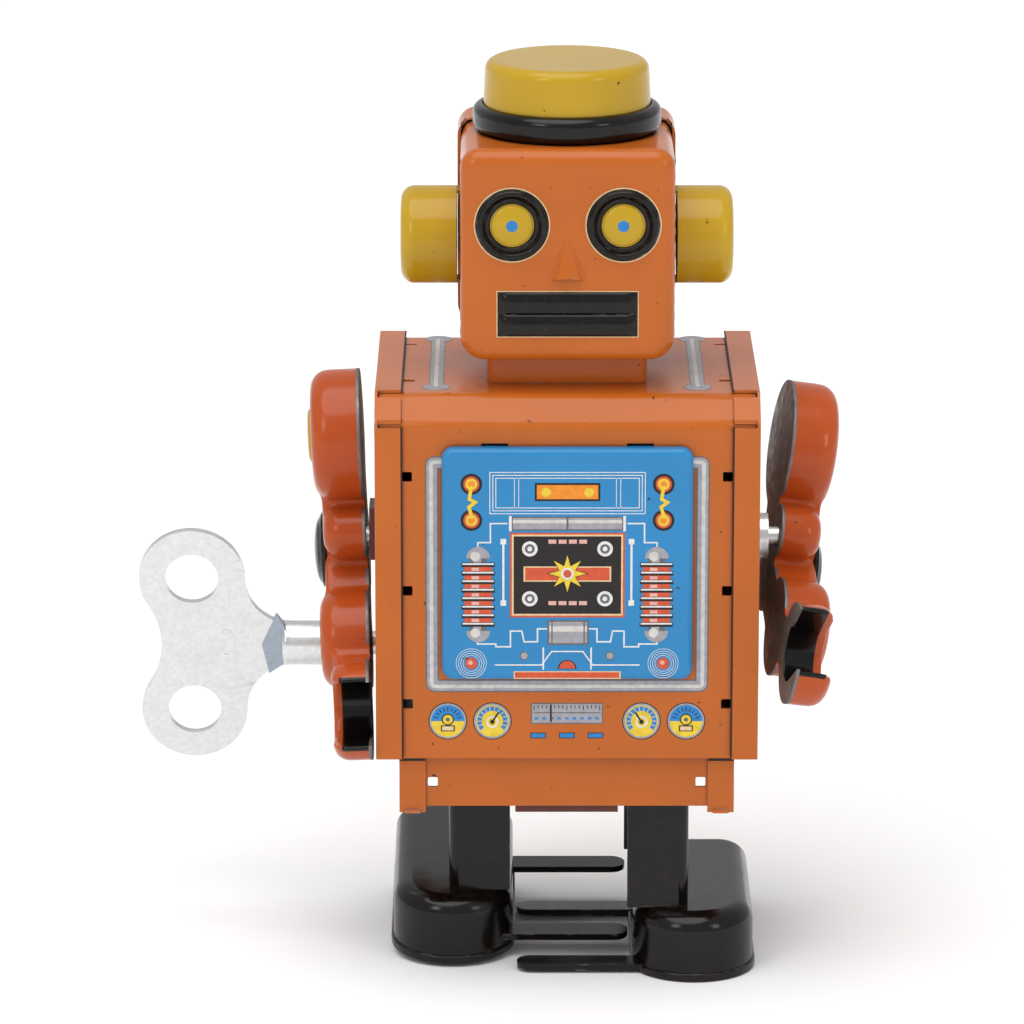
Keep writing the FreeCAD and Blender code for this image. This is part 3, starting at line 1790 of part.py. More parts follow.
def build_all():
    build_body_wrap()
    build_skirt_wrap()
    build_base_strap()
    build_chest_panel()
    build_neck()
    build_head()
    build_cap()
    build_hip_axle()
    for side, sign in SIDES.items():
        build_body_side(side, sign)
        build_skirt_side(side, sign)
        build_ear(side, sign)
        build_arm(side, sign)
        build_arm_crank(side, sign)
        build_leg(side, sign)
        build_foot(side, sign)
    great, second_pinion, second, crank, escape = gear_phases()
    build_motor_frame()
    build_winding_arbor(great)
    build_second_arbor(second_pinion, second)
    build_crank(crank)
    build_escapement(escape)
    build_mainspring()
    build_key()


def check_document():
    for item in doc.Objects:
        faults = [state for state in item.State if state in ("Invalid", "Error")]
        if faults:
            raise RuntimeError(f"{item.Name} ({item.Label}): {item.State}")
    for label, item in NODES.items():
        if item.Shape.isNull() or not item.Shape.isValid() or not item.Shape.Solids:
            raise RuntimeError(f"{label} has no valid solid")


def write_parts():
    os.makedirs("parts", exist_ok=True)
    for label, item in NODES.items():
        item.Shape.exportStep(f"parts/{label}.step")
        box = item.Shape.BoundBox
        print(
            f"{label:20s} solids {len(item.Shape.Solids)} volume {item.Shape.Volume:9.2f}"
            f"  x {box.XMin:7.2f} {box.XMax:7.2f}  y {box.YMin:7.2f} {box.YMax:7.2f}"
            f"  z {box.ZMin:7.2f} {box.ZMax:7.2f}"
        )


build_all()
doc.recompute()
check_document()
write_parts()
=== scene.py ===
"""Looks of the tin wind-up robot: enamel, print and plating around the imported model.

Lengths are in millimetres until a mesh is made. X is across the body, -Y is the robot's front and +Z is up,
and "left" and "right" are the sides at -X and +X."""
import json
import math

import bmesh
import bpy
from mathutils import Matrix, Vector


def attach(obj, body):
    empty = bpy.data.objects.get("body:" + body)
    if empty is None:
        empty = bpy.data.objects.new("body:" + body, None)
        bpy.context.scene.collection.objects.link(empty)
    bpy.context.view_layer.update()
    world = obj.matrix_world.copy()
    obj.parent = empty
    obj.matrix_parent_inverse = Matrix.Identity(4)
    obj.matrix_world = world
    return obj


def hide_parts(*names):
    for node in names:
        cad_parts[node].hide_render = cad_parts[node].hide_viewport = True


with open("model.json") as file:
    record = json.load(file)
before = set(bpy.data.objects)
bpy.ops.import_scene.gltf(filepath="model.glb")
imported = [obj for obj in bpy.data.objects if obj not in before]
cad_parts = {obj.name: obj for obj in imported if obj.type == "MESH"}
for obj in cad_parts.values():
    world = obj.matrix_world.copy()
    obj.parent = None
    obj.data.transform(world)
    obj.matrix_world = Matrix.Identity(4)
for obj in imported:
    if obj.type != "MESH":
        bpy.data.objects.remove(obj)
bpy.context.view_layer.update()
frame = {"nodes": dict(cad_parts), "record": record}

MM = 0.001
SIDES = {"left": -1, "right": 1}
SLOT_OF = {part["node"]: part["material_slot"] for part in frame["record"]["subparts"]}

# ---------------------------------------------------------------- sizes repeated from the design

PANEL_FRONT = 19.2
PANEL_MIDDLE_Z = 53.375
BODY_FRONT = 17.6
BODY_TOP = 73.6
HEAD_FRONT = 14.0
EYE_X = 6.7
EYE_Z = 94.3
ARM_SHAFT_Z = 52.0
ARM_SWING = 14.0
ARM_PLATE_X = {"left": 24.7, "right": 26.1}
ARM_ROLL = {"left": 2.5, "right": 9.0}
ARM_YAW = {"left": 0.0, "right": 6.0}
TIN = 0.4
SKIRT_FRONT = 16.6
KEY_SHAFT_Y = 8.0
KEY_SHAFT_Z = 36.0
KEY_TILT = 11.5
# forward of the shaft, above the shaft, radius, depth of the pressing
ARM_LOBES = {
    "shoulder": (-5.55, 11.5, 8.1, 6.2),
    "pivot": (-0.4, 0.6, 3.4, 5.4),
    "elbow": (-4.6, -4.2, 5.3, 5.6),
    "forearm": (6.1, -11.1, 6.1, 6.2),
    "hand": (18.6, -14.0, 6.2, 4.8),
}
# the two lobes that a bridge joins, its width and its depth
ARM_BRIDGES = (
    ("shoulder", "elbow", 8.0, 5.4),
    ("elbow", "forearm", 7.0, 5.4),
    ("forearm", "hand", 6.0, 4.4),
)
# how far the lobes and bridges start behind the plane where the pressing's back is opened
ARM_ROOT = 0.8
CLAW_DIRECTION = 23.0
CLAW_GAP = 3.5
CLAW_FLARE = 0.8
CLAW_REACH = 9.2
MOUTH_WALL = 0.85
CLAW_LIP = 0.9

# ---------------------------------------------------------------- sizes of the looks

# faces that meet at a sharper angle than this keep a crease, in degrees
CREASE = 38
# print lies on the metal in levels, each this much higher, and its plates reach a little into the metal
INK_STEP = 0.012
INK_ROOT = -0.05
SPECULAR = 0.3
PRESSING_VOXEL = 0.3

# ---------------------------------------------------------------- colours, linear

def srgb(red, green, blue):
    """A colour given as display values from 0 to 255."""
    def linear(value):
        share = value / 255
        return share / 12.92 if share <= 0.04045 else ((share + 0.055) / 1.055) ** 2.4
    return (linear(red), linear(green), linear(blue), 1.0)


ORANGE = srgb(186, 96, 30)
RED_ORANGE = srgb(178, 76, 28)
BLUE = srgb(44, 130, 186)
YELLOW = srgb(186, 150, 30)
BLACK = srgb(12, 10, 9)
BROWN = srgb(92, 44, 34)
STEEL = srgb(222, 225, 224)
DARK_STEEL = srgb(158, 166, 178)
BRASS = srgb(205, 165, 90)
TIN_EDGE = srgb(150, 140, 132)
# dark specks of grime, and the colour of painted shade in the enamel's seams and corners
GRIME_AND_SHADE = srgb(52, 30, 20)

# ---------------------------------------------------------------- materials


class Shader:
    """A material with a Principled shader, and short ways to add nodes to it."""

    def __init__(self, name):
        self.material = bpy.data.materials.new(name)
        self.material.use_nodes = True
        self.tree = self.material.node_tree
        self.surface = self.tree.nodes["Principled BSDF"]
        self.place = self.add("ShaderNodeTexCoord").outputs["Object"]

    def add(self, kind, **settings):
        made = self.tree.nodes.new(kind)
        for key, value in settings.items():
            setattr(made, key, value)
        return made

    def put(self, socket, value):
        if isinstance(value, bpy.types.NodeSocket):
            self.tree.links.new(value, socket)
        else:
            socket.default_value = value

    def noise(self, per_mm, detail):
        """Noise with so many features to the millimetre."""
        made = self.add("ShaderNodeTexNoise")
        self.put(made.inputs["Vector"], self.place)
        made.inputs["Scale"].default_value = per_mm / MM
        made.inputs["Detail"].default_value = detail
        return made.outputs["Fac"]

    def ramp(self, value, low, high, start=0.0, end=1.0):
        made = self.add("ShaderNodeMapRange")
        self.put(made.inputs["Value"], value)
        made.inputs["From Min"].default_value = low
        made.inputs["From Max"].default_value = high
        made.inputs["To Min"].default_value = start
        made.inputs["To Max"].default_value = end
        return made.outputs["Result"]

    def math(self, operation, first, second):
        made = self.add("ShaderNodeMath", operation=operation)
        self.put(made.inputs[0], first)
        self.put(made.inputs[1], second)
        return made.outputs[0]

    def blend(self, share, first, second):
        made = self.add("ShaderNodeMix", data_type="RGBA")
        self.put(made.inputs[0], share)
        self.put(made.inputs[6], first)
        self.put(made.inputs[7], second)
        return made.outputs[2]

    def edge(self, reach):
        """1 along sharp edges, for a reach in millimetres, and 0 on flats."""
        bevel = self.add("ShaderNodeBevel", samples=4)
        bevel.inputs["Radius"].default_value = reach * MM
        geometry = self.add("ShaderNodeNewGeometry")
        dot = self.add("ShaderNodeVectorMath", operation="DOT_PRODUCT")
        self.put(dot.inputs[0], bevel.outputs["Normal"])
        self.put(dot.inputs[1], geometry.outputs["Normal"])
        return self.ramp(dot.outputs["Value"], 0.97, 0.8)

    def crevice_shade(self, reach):
        """Painted shade: 1 deep in seams and corners, where shade falls, and 0 in the open."""
        shade = self.add("ShaderNodeAmbientOcclusion", samples=4)
        shade.inputs["Distance"].default_value = reach * MM
        return self.ramp(shade.outputs["AO"], 0.62, 0.3)

    def bump(self, height, depth, base=None):
        made = self.add("ShaderNodeBump")
        made.inputs["Strength"].default_value = 1.0
        made.inputs["Distance"].default_value = depth * MM
        self.put(made.inputs["Height"], height)
        if base is not None:
            self.put(made.inputs["Normal"], base)
        return made.outputs["Normal"]

    def finish(self, colour, roughness, normal=None, metallic=0.0):
        self.put(self.surface.inputs["Base Color"], colour)
        self.put(self.surface.inputs["Roughness"], roughness)
        self.put(self.surface.inputs["Metallic"], metallic)
        self.surface.inputs["Specular IOR Level"].default_value = SPECULAR
        if normal is not None:
            self.put(self.surface.inputs["Normal"], normal)
        return self.material


def darker(colour, share):
    return tuple(channel * share for channel in colour[:3]) + (1.0,)


def enamel(name, colour, gloss=0.2, wear=0.5, specks=0.5, dust=0.0):
    """Stoved enamel on tinplate: cloudy colour, orange-peel gloss, dark specks, worn edges, and painted
    shade in seams and corners.
    """
    shader = Shader(name)
    clouds = shader.ramp(shader.noise(0.06, 2.0), 0.3, 0.7)
    paint = shader.blend(clouds, darker(colour, 0.93), darker(colour, 1.05))
    spots = shader.ramp(shader.noise(0.9, 4.0), 0.735 - 0.05 * specks, 0.79 - 0.05 * specks)
    paint = shader.blend(spots, paint, GRIME_AND_SHADE)
    if dust:
        film = shader.math("MULTIPLY", shader.ramp(shader.noise(1.5, 6.0), 0.5, 0.7), dust)
        paint = shader.blend(film, paint, srgb(120, 88, 56))
    # painted shade: ambient occlusion darkens the enamel in seams and corners
    paint = shader.blend(shader.crevice_shade(0.9), paint, GRIME_AND_SHADE)
    rubbed = shader.ramp(shader.noise(0.5, 5.0), 0.62 - 0.2 * wear, 0.72 - 0.2 * wear)
    bare = shader.math("MULTIPLY", shader.edge(0.3), rubbed)
    paint = shader.blend(bare, paint, TIN_EDGE)
    rough = shader.ramp(shader.noise(0.15, 4.0), 0.3, 0.7, gloss * 0.8, gloss * 1.35)
    peel = shader.bump(shader.noise(0.22, 2.0), 0.05)
    fine = shader.bump(shader.noise(2.6, 2.0), 0.004, peel)
    return shader.finish(paint, rough, fine, shader.math("MULTIPLY", bare, 0.8))


def metal(name, colour, gloss):
    """Plated or bare metal with fine grain and a little tarnish."""
    shader = Shader(name)
    grain = shader.ramp(shader.noise(1.6, 5.0), 0.35, 0.65)
    face = shader.blend(grain, darker(colour, 0.945), darker(colour, 1.04))
    tarnish = shader.math("MULTIPLY", shader.ramp(shader.noise(0.25, 5.0), 0.55, 0.75), 0.18)
    face = shader.blend(tarnish, face, darker(colour, 0.6))
    rough = shader.ramp(shader.noise(0.7, 4.0), 0.3, 0.7, gloss * 0.8, gloss * 1.4)
    normal = shader.bump(shader.noise(1.2, 4.0), 0.004)
    return shader.finish(face, rough, normal, 0.92)


def ink(name, colour, shine=0.25, metallic=0.0):
    """Lithographed ink: a fine uneven tone under the varnish."""
    shader = Shader(name)
    tone = shader.ramp(shader.noise(1.4, 5.0), 0.35, 0.65)
    paint = shader.blend(tone, darker(colour, 0.88), darker(colour, 1.06))
    rough = shader.ramp(shader.noise(0.5, 3.0), 0.3, 0.7, shine * 0.8, shine * 1.3)
    normal = shader.bump(shader.noise(0.9, 3.0), 0.008)
    return shader.finish(paint, rough, normal, metallic)


MATERIALS = {
    "enamel_orange": enamel("enamel_orange", ORANGE),
    "enamel_red_orange": enamel("enamel_red_orange", RED_ORANGE, 0.16, 0.4, 0.3),
    "enamel_blue": enamel("enamel_blue", BLUE, 0.24, 0.35, 0.3),
    "enamel_yellow": enamel("enamel_yellow", YELLOW, 0.17, 0.3, 0.35),
    "enamel_black": enamel("enamel_black", BLACK, 0.15, 0.35, 0.2, 0.04),
    "enamel_brown": enamel("enamel_brown", BROWN, 0.28, 0.4, 0.7),
    "plated_steel": metal("plated_steel", STEEL, 0.26),
    "spring_steel": metal("spring_steel", DARK_STEEL, 0.3),
    "brass": metal("brass", BRASS, 0.28),
}
INKS = {
    "white": ink("ink_white", srgb(222, 222, 222)),
    "black": ink("ink_black", srgb(34, 28, 28)),
    "red": ink("ink_red", srgb(205, 84, 52)),
    "pink": ink("ink_pink", srgb(220, 170, 160)),
    "yellow": ink("ink_yellow", srgb(226, 196, 56)),
    "orange": ink("ink_orange", srgb(232, 140, 40)),
    "silver": ink("ink_silver", srgb(160, 158, 164), 0.28, 0.35),
    "pale": ink("ink_pale", srgb(205, 202, 198), 0.3, 0.2),
    "grey": ink("ink_grey", srgb(104, 100, 100)),
    "blue": ink("ink_blue", srgb(40, 128, 196)),
    "cream": ink("ink_cream", srgb(226, 196, 150)),
    # painted shade: dark ink laid in the seam gaps and on the skirt under the body
    "painted_shade": ink("ink_painted_shade", srgb(46, 28, 20), 0.5),
}

for label, cad in frame["nodes"].items():
    cad.data.materials.clear()
    cad.data.materials.append(MATERIALS[SLOT_OF[label]])

# painted shade: the arm plates are plated tin, given a darker, duller grey for the shade of the narrow gap
# beside the body
SHADED_ARM_STEEL = metal("shaded_arm_steel", srgb(128, 126, 124), 0.5)
for arm_label in ("arm_plate_left", "arm_plate_right"):
    plate_mesh = frame["nodes"][arm_label].data
    plate_mesh.materials.clear()
    plate_mesh.materials.append(SHADED_ARM_STEEL)

# ---------------------------------------------------------------- meshes


def piece(name, verts, faces, material, body, smooth=True):
    """A mesh from points in millimetres that rides on a body."""
    mesh = bpy.data.meshes.new(name)
    mesh.from_pydata([Vector(v) * MM for v in verts], [], faces)
    mesh.validate()
    made = bpy.data.objects.new(name, mesh)
    bpy.context.scene.collection.objects.link(made)
    clean = bmesh.new()
    clean.from_mesh(mesh)
    bmesh.ops.recalc_face_normals(clean, faces=clean.faces)
    clean.to_mesh(mesh)
    clean.free()
    mesh.materials.append(material)
    for polygon in mesh.polygons:
        polygon.use_smooth = smooth
    if smooth:
        mesh.set_sharp_from_angle(angle=math.radians(CREASE))
    if body:
        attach(made, body)
    return made


def lathe_mesh(profile, matrix, steps=72):
    """Points and faces of a closed profile of (radius, height) turned about Z and then moved."""
    verts = []
    faces = []
    for step in range(steps):
        turn = math.tau * step / steps
        for radius, height in profile:
            verts.append(matrix @ Vector((radius * math.cos(turn), radius * math.sin(turn), height)))
    count = len(profile)
    for step in range(steps):
        after = (step + 1) % steps
        for row in range(count - 1):
            faces.append(
                (step * count + row, after * count + row, after * count + row + 1, step * count + row + 1)
            )
    return verts, faces


def arc(centre, radius, start, end, steps=8):
    """Points on an arc, angles in degrees."""
    points = []
    for step in range(steps + 1):
        turn = math.radians(start + (end - start) * step / steps)
        points.append((centre[0] + radius * math.cos(turn), centre[1] + radius * math.sin(turn)))
    return points


def crown(radius, base, rise, first=0):
    """Points over a shallow dome, from its rim to its middle, every 10 degrees from the first one."""
    turns = [math.radians(10 * number) for number in range(first, 10)]
    return [(radius * math.cos(turn), base + rise * math.sin(turn)) for turn in turns]


def face_matrix(x, y, z, outward):
    """Local Z points outward, and local X and Y lie in the face."""
    return Matrix.Translation((x, y, z)) @ Vector(outward).to_track_quat("Z", "Y").to_matrix().to_4x4()


class Print:
    """Ink on one flat face of the body: thin closed plates, gathered by colour."""

    def __init__(self, name, origin, across, up):
        self.name = name
        self.origin = Vector(origin)
        self.across = Vector(across)
        self.up = Vector(up)
        self.out = self.across.cross(self.up)
        self.plates = {}

    def plate(self, colour, outer, level=1, inner=None):
        verts, faces = self.plates.setdefault(colour, ([], []))
        base = len(verts)
        loops = [outer] if inner is None else [outer, inner]
        count = len(outer)
        for loop in loops:
            for height in (INK_ROOT, INK_STEP * level):
                for u, v in loop:
                    verts.append(self.origin + self.across * u + self.up * v + self.out * height)
        ring = [list(range(base + k * count, base + (k + 1) * count)) for k in range(2 * len(loops))]

        def walls(low, high):
            for k in range(count):
                after = (k + 1) % count
                faces.append((low[k], low[after], high[after], high[k]))

        walls(ring[0], ring[1])
        if inner is None:
            faces.append(tuple(ring[1]))
            faces.append(tuple(reversed(ring[0])))
        else:
            walls(ring[3], ring[2])
            walls(ring[1], ring[3])
            walls(ring[2], ring[0])

    def rect(self, colour, left, right, low, high, level=1):
        self.plate(colour, [(left, low), (right, low), (right, high), (left, high)], level)

    def bar(self, colour, u, half, low, high, level=1):
        """A rectangle centred on u."""
        self.rect(colour, u - half, u + half, low, high, level)

    def frame(self, colour, left, right, low, high, width, level=1):
        outer = [(left, low), (right, low), (right, high), (left, high)]
        inner = [
            (left + width, low + width),
            (right - width, low + width),
            (right - width, high - width),
            (left + width, high - width),
        ]
        self.plate(colour, outer, level, inner)

    def disc(self, colour, u, v, radius, level=1, hole=0.0, start=0, end=360):
        whole = end - start >= 360
        steps = 40 if radius > 1 else 24
        outer = arc((u, v), radius, start, end, steps)
        if whole:
            outer.pop()
            inner = arc((u, v), hole, start, end, steps)[:-1] if hole else None
            self.plate(colour, outer, level, inner)
        elif hole:
            inner = arc((u, v), hole, start, end, steps)
            self.plate(colour, outer + inner[::-1], level)
        else:
            self.plate(colour, outer, level)

    def line(self, colour, points, width, level=1):
        """A polyline with mitred corners."""
        half = width / 2
        left = []
        right = []
        for k, (u, v) in enumerate(points):
            here = Vector((u, v))
            before = (here - Vector(points[k - 1])).normalized() if k else None
            after = (Vector(points[k + 1]) - here).normalized() if k + 1 < len(points) else None
            along = ((before or after) + (after or before)).normalized()
            normal = Vector((-along.y, along.x))
            stretch = half / max(0.4, normal.dot(Vector((-(after or before).y, (after or before).x))))
            left.append(tuple(here + normal * stretch))
            right.append(tuple(here - normal * stretch))
        self.plate(colour, left + right[::-1], level)

    def make(self):
        for colour, (verts, faces) in self.plates.items():
            piece(f"{self.name}_{colour}", verts, faces, INKS[colour], "body", smooth=False)


# ---------------------------------------------------------------- printed panel


def draw_spark_gap(art, side):
    """Two terminals, one above the other, and the spark between them."""
    u = 11.6 * side
    for v in (10.15, 5.65):
        art.disc("black", u, v, 1.31, 1)
        art.disc("red", u, v, 0.98, 2, 0.72)
        art.disc("yellow", u, v, 0.72, 3)
        art.disc("orange", u, v, 0.42, 4)
    spark = ((0.0, 9.9), (-0.25, 8.3), (0.45, 7.9), (-0.3, 7.3), (0.1, 5.9))
    art.line("yellow", [(u + aside, v) for aside, v in spark], 0.42, 5)


def draw_lamp_window(art):
    """A window with two lamps, inside three thin outlines."""
    low, high = 7.15, 10.95
    for nest in range(3):
        grow = 0.36 * nest
        art.frame("white", -8.7 - grow, 8.7 + grow, low - grow, high + grow, 0.1, 1)
    for side in (-1, 1):
        for aside in (-0.26, 0.26):
            art.bar("white", side * 6.15 + aside, 0.04, low, high, 1)
    art.bar("black", 0, 3.95, 8.05, 10.3, 1)
    art.bar("orange", 0, 3.7, 8.3, 10.05, 2)
    for side in (-1, 1):
        art.disc("yellow", 2.6 * side, 9.15, 0.58, 3)


def draw_tube(art):
    """A silver tube across the panel, with a joint in its middle and a stop at each end."""
    low, high = 4.55, 5.95
    art.bar("grey", 0, 6.75, low - 0.15, high + 0.15, 1)
    art.bar("silver", 0, 6.6, low, high, 2)
    art.bar("pale", 0, 6.6, 5.3, 5.7, 3)
    art.bar("grey", 0, 0.12, low, high, 4)
    for side in (-1, 1):
        art.bar("white", 6.9 * side, 0.16, low - 0.25, high + 0.25, 3)


def draw_starburst(art, middle):
    """Sixteen rays, long and short in turn, outlined in black round a white and red middle."""
    for colour, grow, level in (("black", 1.12, 7), ("yellow", 1.0, 8)):
        rays = []
        for ray in range(16):
            turn = math.tau * ray / 16
            reach = grow * (2.3 if ray % 2 == 0 else 1.0)
            rays.append((reach * math.cos(turn), middle + reach * math.sin(turn)))
        art.plate(colour, rays, level)
    art.disc("white", 0, middle, 0.75, 9)
    art.disc("red", 0, middle, 0.5, 10)


def draw_screen(art):
    """A dark screen with dials in its corners, dashes, a bar and a starburst."""
    art.bar("red", 0, 6.95, -6.5, 4.1, 2)
    art.bar("cream", 0, 6.72, -6.27, 3.88, 3)
    art.bar("black", 0, 6.5, -6.05, 3.66, 4)
    for side in (-1, 1):
        for v in (2.1, -4.15):
            art.disc("white", 4.55 * side, v, 0.95, 5)
            art.disc("grey", 4.55 * side, v, 0.6, 6)
            art.disc("white", 4.55 * side, v, 0.3, 7)
    for v in (2.75, -4.95):
        for dash in range(4):
            left = -2.3 + 1.24 * dash
            art.rect("pink", left, left + 0.95, v, v + 0.5, 5)
    art.bar("cream", 0, 5.3, -2.0, -0.1, 5)
    art.bar("red", 0, 5.1, -1.84, -0.26, 6)
    draw_starburst(art, -1.0)


def draw_coil(art, side):
    """A finned coil with domed ends, and a thin rod beside it."""
    u = 10.8 * side
    art.bar("grey", u, 1.0, -9.1, 2.0, 1)
    art.rect("silver", u - 0.6, u + 0.35, -9.3, 2.1, 2)
    for end, v in ((1, 0.9), (-1, -8.2)):
        start = 0 if end > 0 else 180
        art.plate("silver", arc((u, v), 1.45, start, start + 180, 14), 3)
        art.plate("pale", arc((u - 0.35, v + 0.25 * end), 0.6, 0, 360, 14)[:-1], 4)
    fins = 8
    for fin in range(fins):
        v = 0.12 - 1.07 * fin
        art.bar("black", u, 2.0, v - 0.3, v + 0.24, 4)
        art.bar("white", u, 1.9, v - 0.02, v + 0.18, 5)
        if fin < fins - 1:
            art.bar("red", u, 1.65, v - 0.86, v - 0.3, 4)
            art.rect("pink", u - 0.8, u + 0.1, v - 0.78, v - 0.38, 5)
    rod = 7.75 * side
    art.bar("white", rod, 0.13, -4.6, 2.9, 2)
    for v in (3.0, -4.7):
        art.bar("white", rod, 0.34, v - 0.34, v + 0.34, 3)


def draw_wires(art, side):
    """Wires from the tube to a coil, and from the coil's foot to the block under the screen."""
    upper = ((7.25, 5.25), (9.31, 5.25), (9.31, 2.87), (10.84, 2.87), (10.84, 2.0))
    lower = (
        (10.89, -9.1),
        (10.89, -9.86),
        (8.66, -9.86),
        (8.66, -10.21),
        (6.89, -10.21),
        (6.89, -8.23),
        (5.5, -8.23),
        (5.24, -9.58),
        (3.61, -9.58),
        (3.61, -7.95),
        (2.35, -7.95),
    )
    for route in (upper, lower):
        art.line("white", [(u * side, v) for u, v in route], 0.18, 1)


def draw_foot_lamp(art, side):
    """A ringed lamp in the panel's lower corner, with a stud and a post beside it."""
    u, v = 11.65 * side, -12.3
    for radius in (1.0, 1.28, 1.56, 1.84):
        art.disc("white", u, v, radius + 0.03, 2, radius - 0.03)
    art.disc("red", u, v, 0.73, 3)
    art.disc("pink", u - 0.1, v + 0.1, 0.28, 4)
    stud = 5.2 * side
    art.disc("grey", stud, -11.35, 0.55, 1)
    art.disc("silver", stud, -11.35, 0.42, 2)
    art.bar("white", 2.9 * side, 0.1, -13.1, -10.3, 2)


def draw_block(art):
    """A silver block under the screen."""
    middle = 0.1
    art.bar("grey", middle, 2.5, -9.95, -6.85, 2)
    art.bar("silver", middle, 2.3, -9.75, -7.05, 3)
    art.bar("pale", middle, 2.3, -8.3, -7.6, 4)
    for side in (-1, 1):
        art.bar("grey", middle + 1.95 * side, 0.08, -9.75, -7.05, 5)


def draw_panel_foot(art):
    """A raised line over a red half disc, and a long bar under them."""
    half_line = ((8.8, -12.5), (3.1, -12.5), (1.9, -10.8))
    line = [(-u, v) for u, v in half_line] + list(reversed(half_line))
    art.line("white", line, 0.16, 3)
    art.plate("black", arc((0, -13.0), 1.12, 0, 180, 18), 3)
    art.plate("red", arc((0, -12.95), 0.97, 0, 180, 18), 4)
    art.bar("cream", 0, 6.5, -14.25, -13.3, 2)
    art.bar("red", 0, 6.35, -14.12, -13.42, 3)


def print_panel():
    """The chest panel's print, measured from the panel's middle."""
    art = Print("panel_print", (0, -PANEL_FRONT, PANEL_MIDDLE_Z), (1, 0, 0), (0, 0, 1))
    for side in (-1, 1):
        draw_spark_gap(art, side)
    draw_lamp_window(art)
    draw_tube(art)
    draw_screen(art)
    for side in (-1, 1):
        draw_coil(art, side)
        draw_wires(art, side)
        draw_foot_lamp(art, side)
    draw_block(art)
    draw_panel_foot(art)
    art.make()


# ---------------------------------------------------------------- printed front and top

GAUGE_Z = 33.3


def panel_border(grow):
    """The outline of the border round the panel, a rectangle with round corners, drawn in by a margin."""
    left, right, low, high = -17.2, 17.2, 36.97, 66.6
    radius = max(0.05, 1.1 - grow)
    inset = grow + radius
    points = []
    for u, v, start in (
        (right - inset, high - inset, 0),
        (left + inset, high - inset, 90),
        (left + inset, low + inset, 180),
        (right - inset, low + inset, 270),
    ):
        points += arc((u, v), radius, start, start + 90, 6)
    return points


def draw_ticks(art, colour, middle, first, step, count, near, far, width):
    """Short lines round a gauge, from one radius to another, starting at an angle in degrees."""
    u, v = middle
    for tick in range(count):
        turn = math.radians(first + step * tick)
        ends = [(u + reach * math.cos(turn), v + reach * math.sin(turn)) for reach in (near, far)]
        art.line(colour, ends, width, 5)


def draw_outer_gauge(art, side):
    """A gauge with a blue upper half, ticks over it and a small window."""
    u = 14.53 * side
    art.disc("black", u, GAUGE_Z, 2.36, 1)
    art.disc("silver", u, GAUGE_Z, 2.24, 2)
    art.disc("yellow", u, GAUGE_Z, 2.02, 3)
    art.disc("blue", u, GAUGE_Z, 2.02, 4, 0.0, 0, 180)
    draw_ticks(art, "black", (u, GAUGE_Z), 18, 18, 9, 1.25, 1.75, 0.12)
    hub = GAUGE_Z + 0.2
    art.disc("black", u, hub, 0.75, 5)
    art.disc("yellow", u, hub, 0.6, 6)
    art.disc("grey", u, hub, 0.25, 7)
    art.bar("black", u, 0.85, 32.0, 32.75, 5)
    art.bar("cream", u, 0.7, 32.12, 32.63, 6)


def draw_inner_gauge(art, side):
    """A gauge with a blue band of ticks, and a needle that leans towards the middle of the body."""
    u = 9.1 * side
    first, last = -40, 220
    art.disc("black", u, GAUGE_Z, 2.36, 1)
    art.disc("silver", u, GAUGE_Z, 2.24, 2)
    art.disc("yellow", u, GAUGE_Z, 2.0, 3)
    art.disc("blue", u, GAUGE_Z, 1.85, 4, 1.3, first, last)
    draw_ticks(art, "cream", (u, GAUGE_Z), first, 20, 14, 1.35, 1.8, 0.1)
    hub = GAUGE_Z - 0.1
    art.disc("white", u, hub, 0.75, 5, 0.55)
    art.disc("black", u, hub, 0.28, 6)
    lean = math.radians(90 + 32 * side)
    tip = (u + 1.45 * math.cos(lean), hub + 1.45 * math.sin(lean))
    art.line("black", [(u, hub), tip], 0.2, 7)


def draw_scale(art):
    """The ruled scale between the gauges, its pointer, and three small windows under it."""
    art.bar("grey", 0, 4.4, 32.93, 35.6, 1)
    art.bar("silver", 0, 4.25, 33.08, 35.45, 2)
    for tick in range(17):
        deep = 0.62 if tick % 4 == 0 else 0.4
        art.bar("black", -4.0 + 0.5 * tick, 0.05, 35.3 - deep, 35.3, 3)
    art.bar("grey", 0, 4.1, 34.3, 34.42, 3)
    for dash in range(9):
        art.bar("blue", -3.7 + 0.92 * dash, 0.22, 33.5, 33.78, 3)
    art.bar("black", -1.96, 0.11, 33.2, 35.4, 4)
    for u in (-3.5, 0.0, 3.5):
        art.bar("black", u, 0.95, 31.1, 31.82, 1)
        art.bar("blue", u, 0.85, 31.2, 31.72, 2)


def print_front():
    """The border round the panel, and the row of gauges under it."""
    art = Print("front_print", (0, -BODY_FRONT, 0), (1, 0, 0), (0, 0, 1))
    outline, band = 0.16, 1.6
    art.plate("grey", panel_border(0.0), 1, panel_border(band))
    art.plate("silver", panel_border(outline), 2, panel_border(band - outline))
    art.plate("pale", panel_border(0.5), 3, panel_border(0.95))
    for side in (-1, 1):
        draw_outer_gauge(art, side)
    for side in (-1, 1):
        draw_inner_gauge(art, side)
    draw_scale(art)
    art.make()


def print_top():
    """Tubes printed along the body's shoulders."""
    art = Print("top_print", (0, 0, BODY_TOP), (1, 0, 0), (0, 1, 0))
    front, back = -11.0, 14.9
    for side in (-1, 1):
        u = 15.9 * side
        for grow, colour, level in ((0.14, "grey", 1), (0.0, "silver", 2)):
            half = 0.78 + grow
            knob = 1.6 + grow
            for v in (front, back):
                art.plate(colour, arc((u, v), knob, 0, 360, 24)[:-1], level)
            art.bar(colour, u, half, front, back, level if grow else level + 1)
        art.rect("pale", u - 0.3, u + 0.18, front, back, 4)
    art.make()


# ---------------------------------------------------------------- head


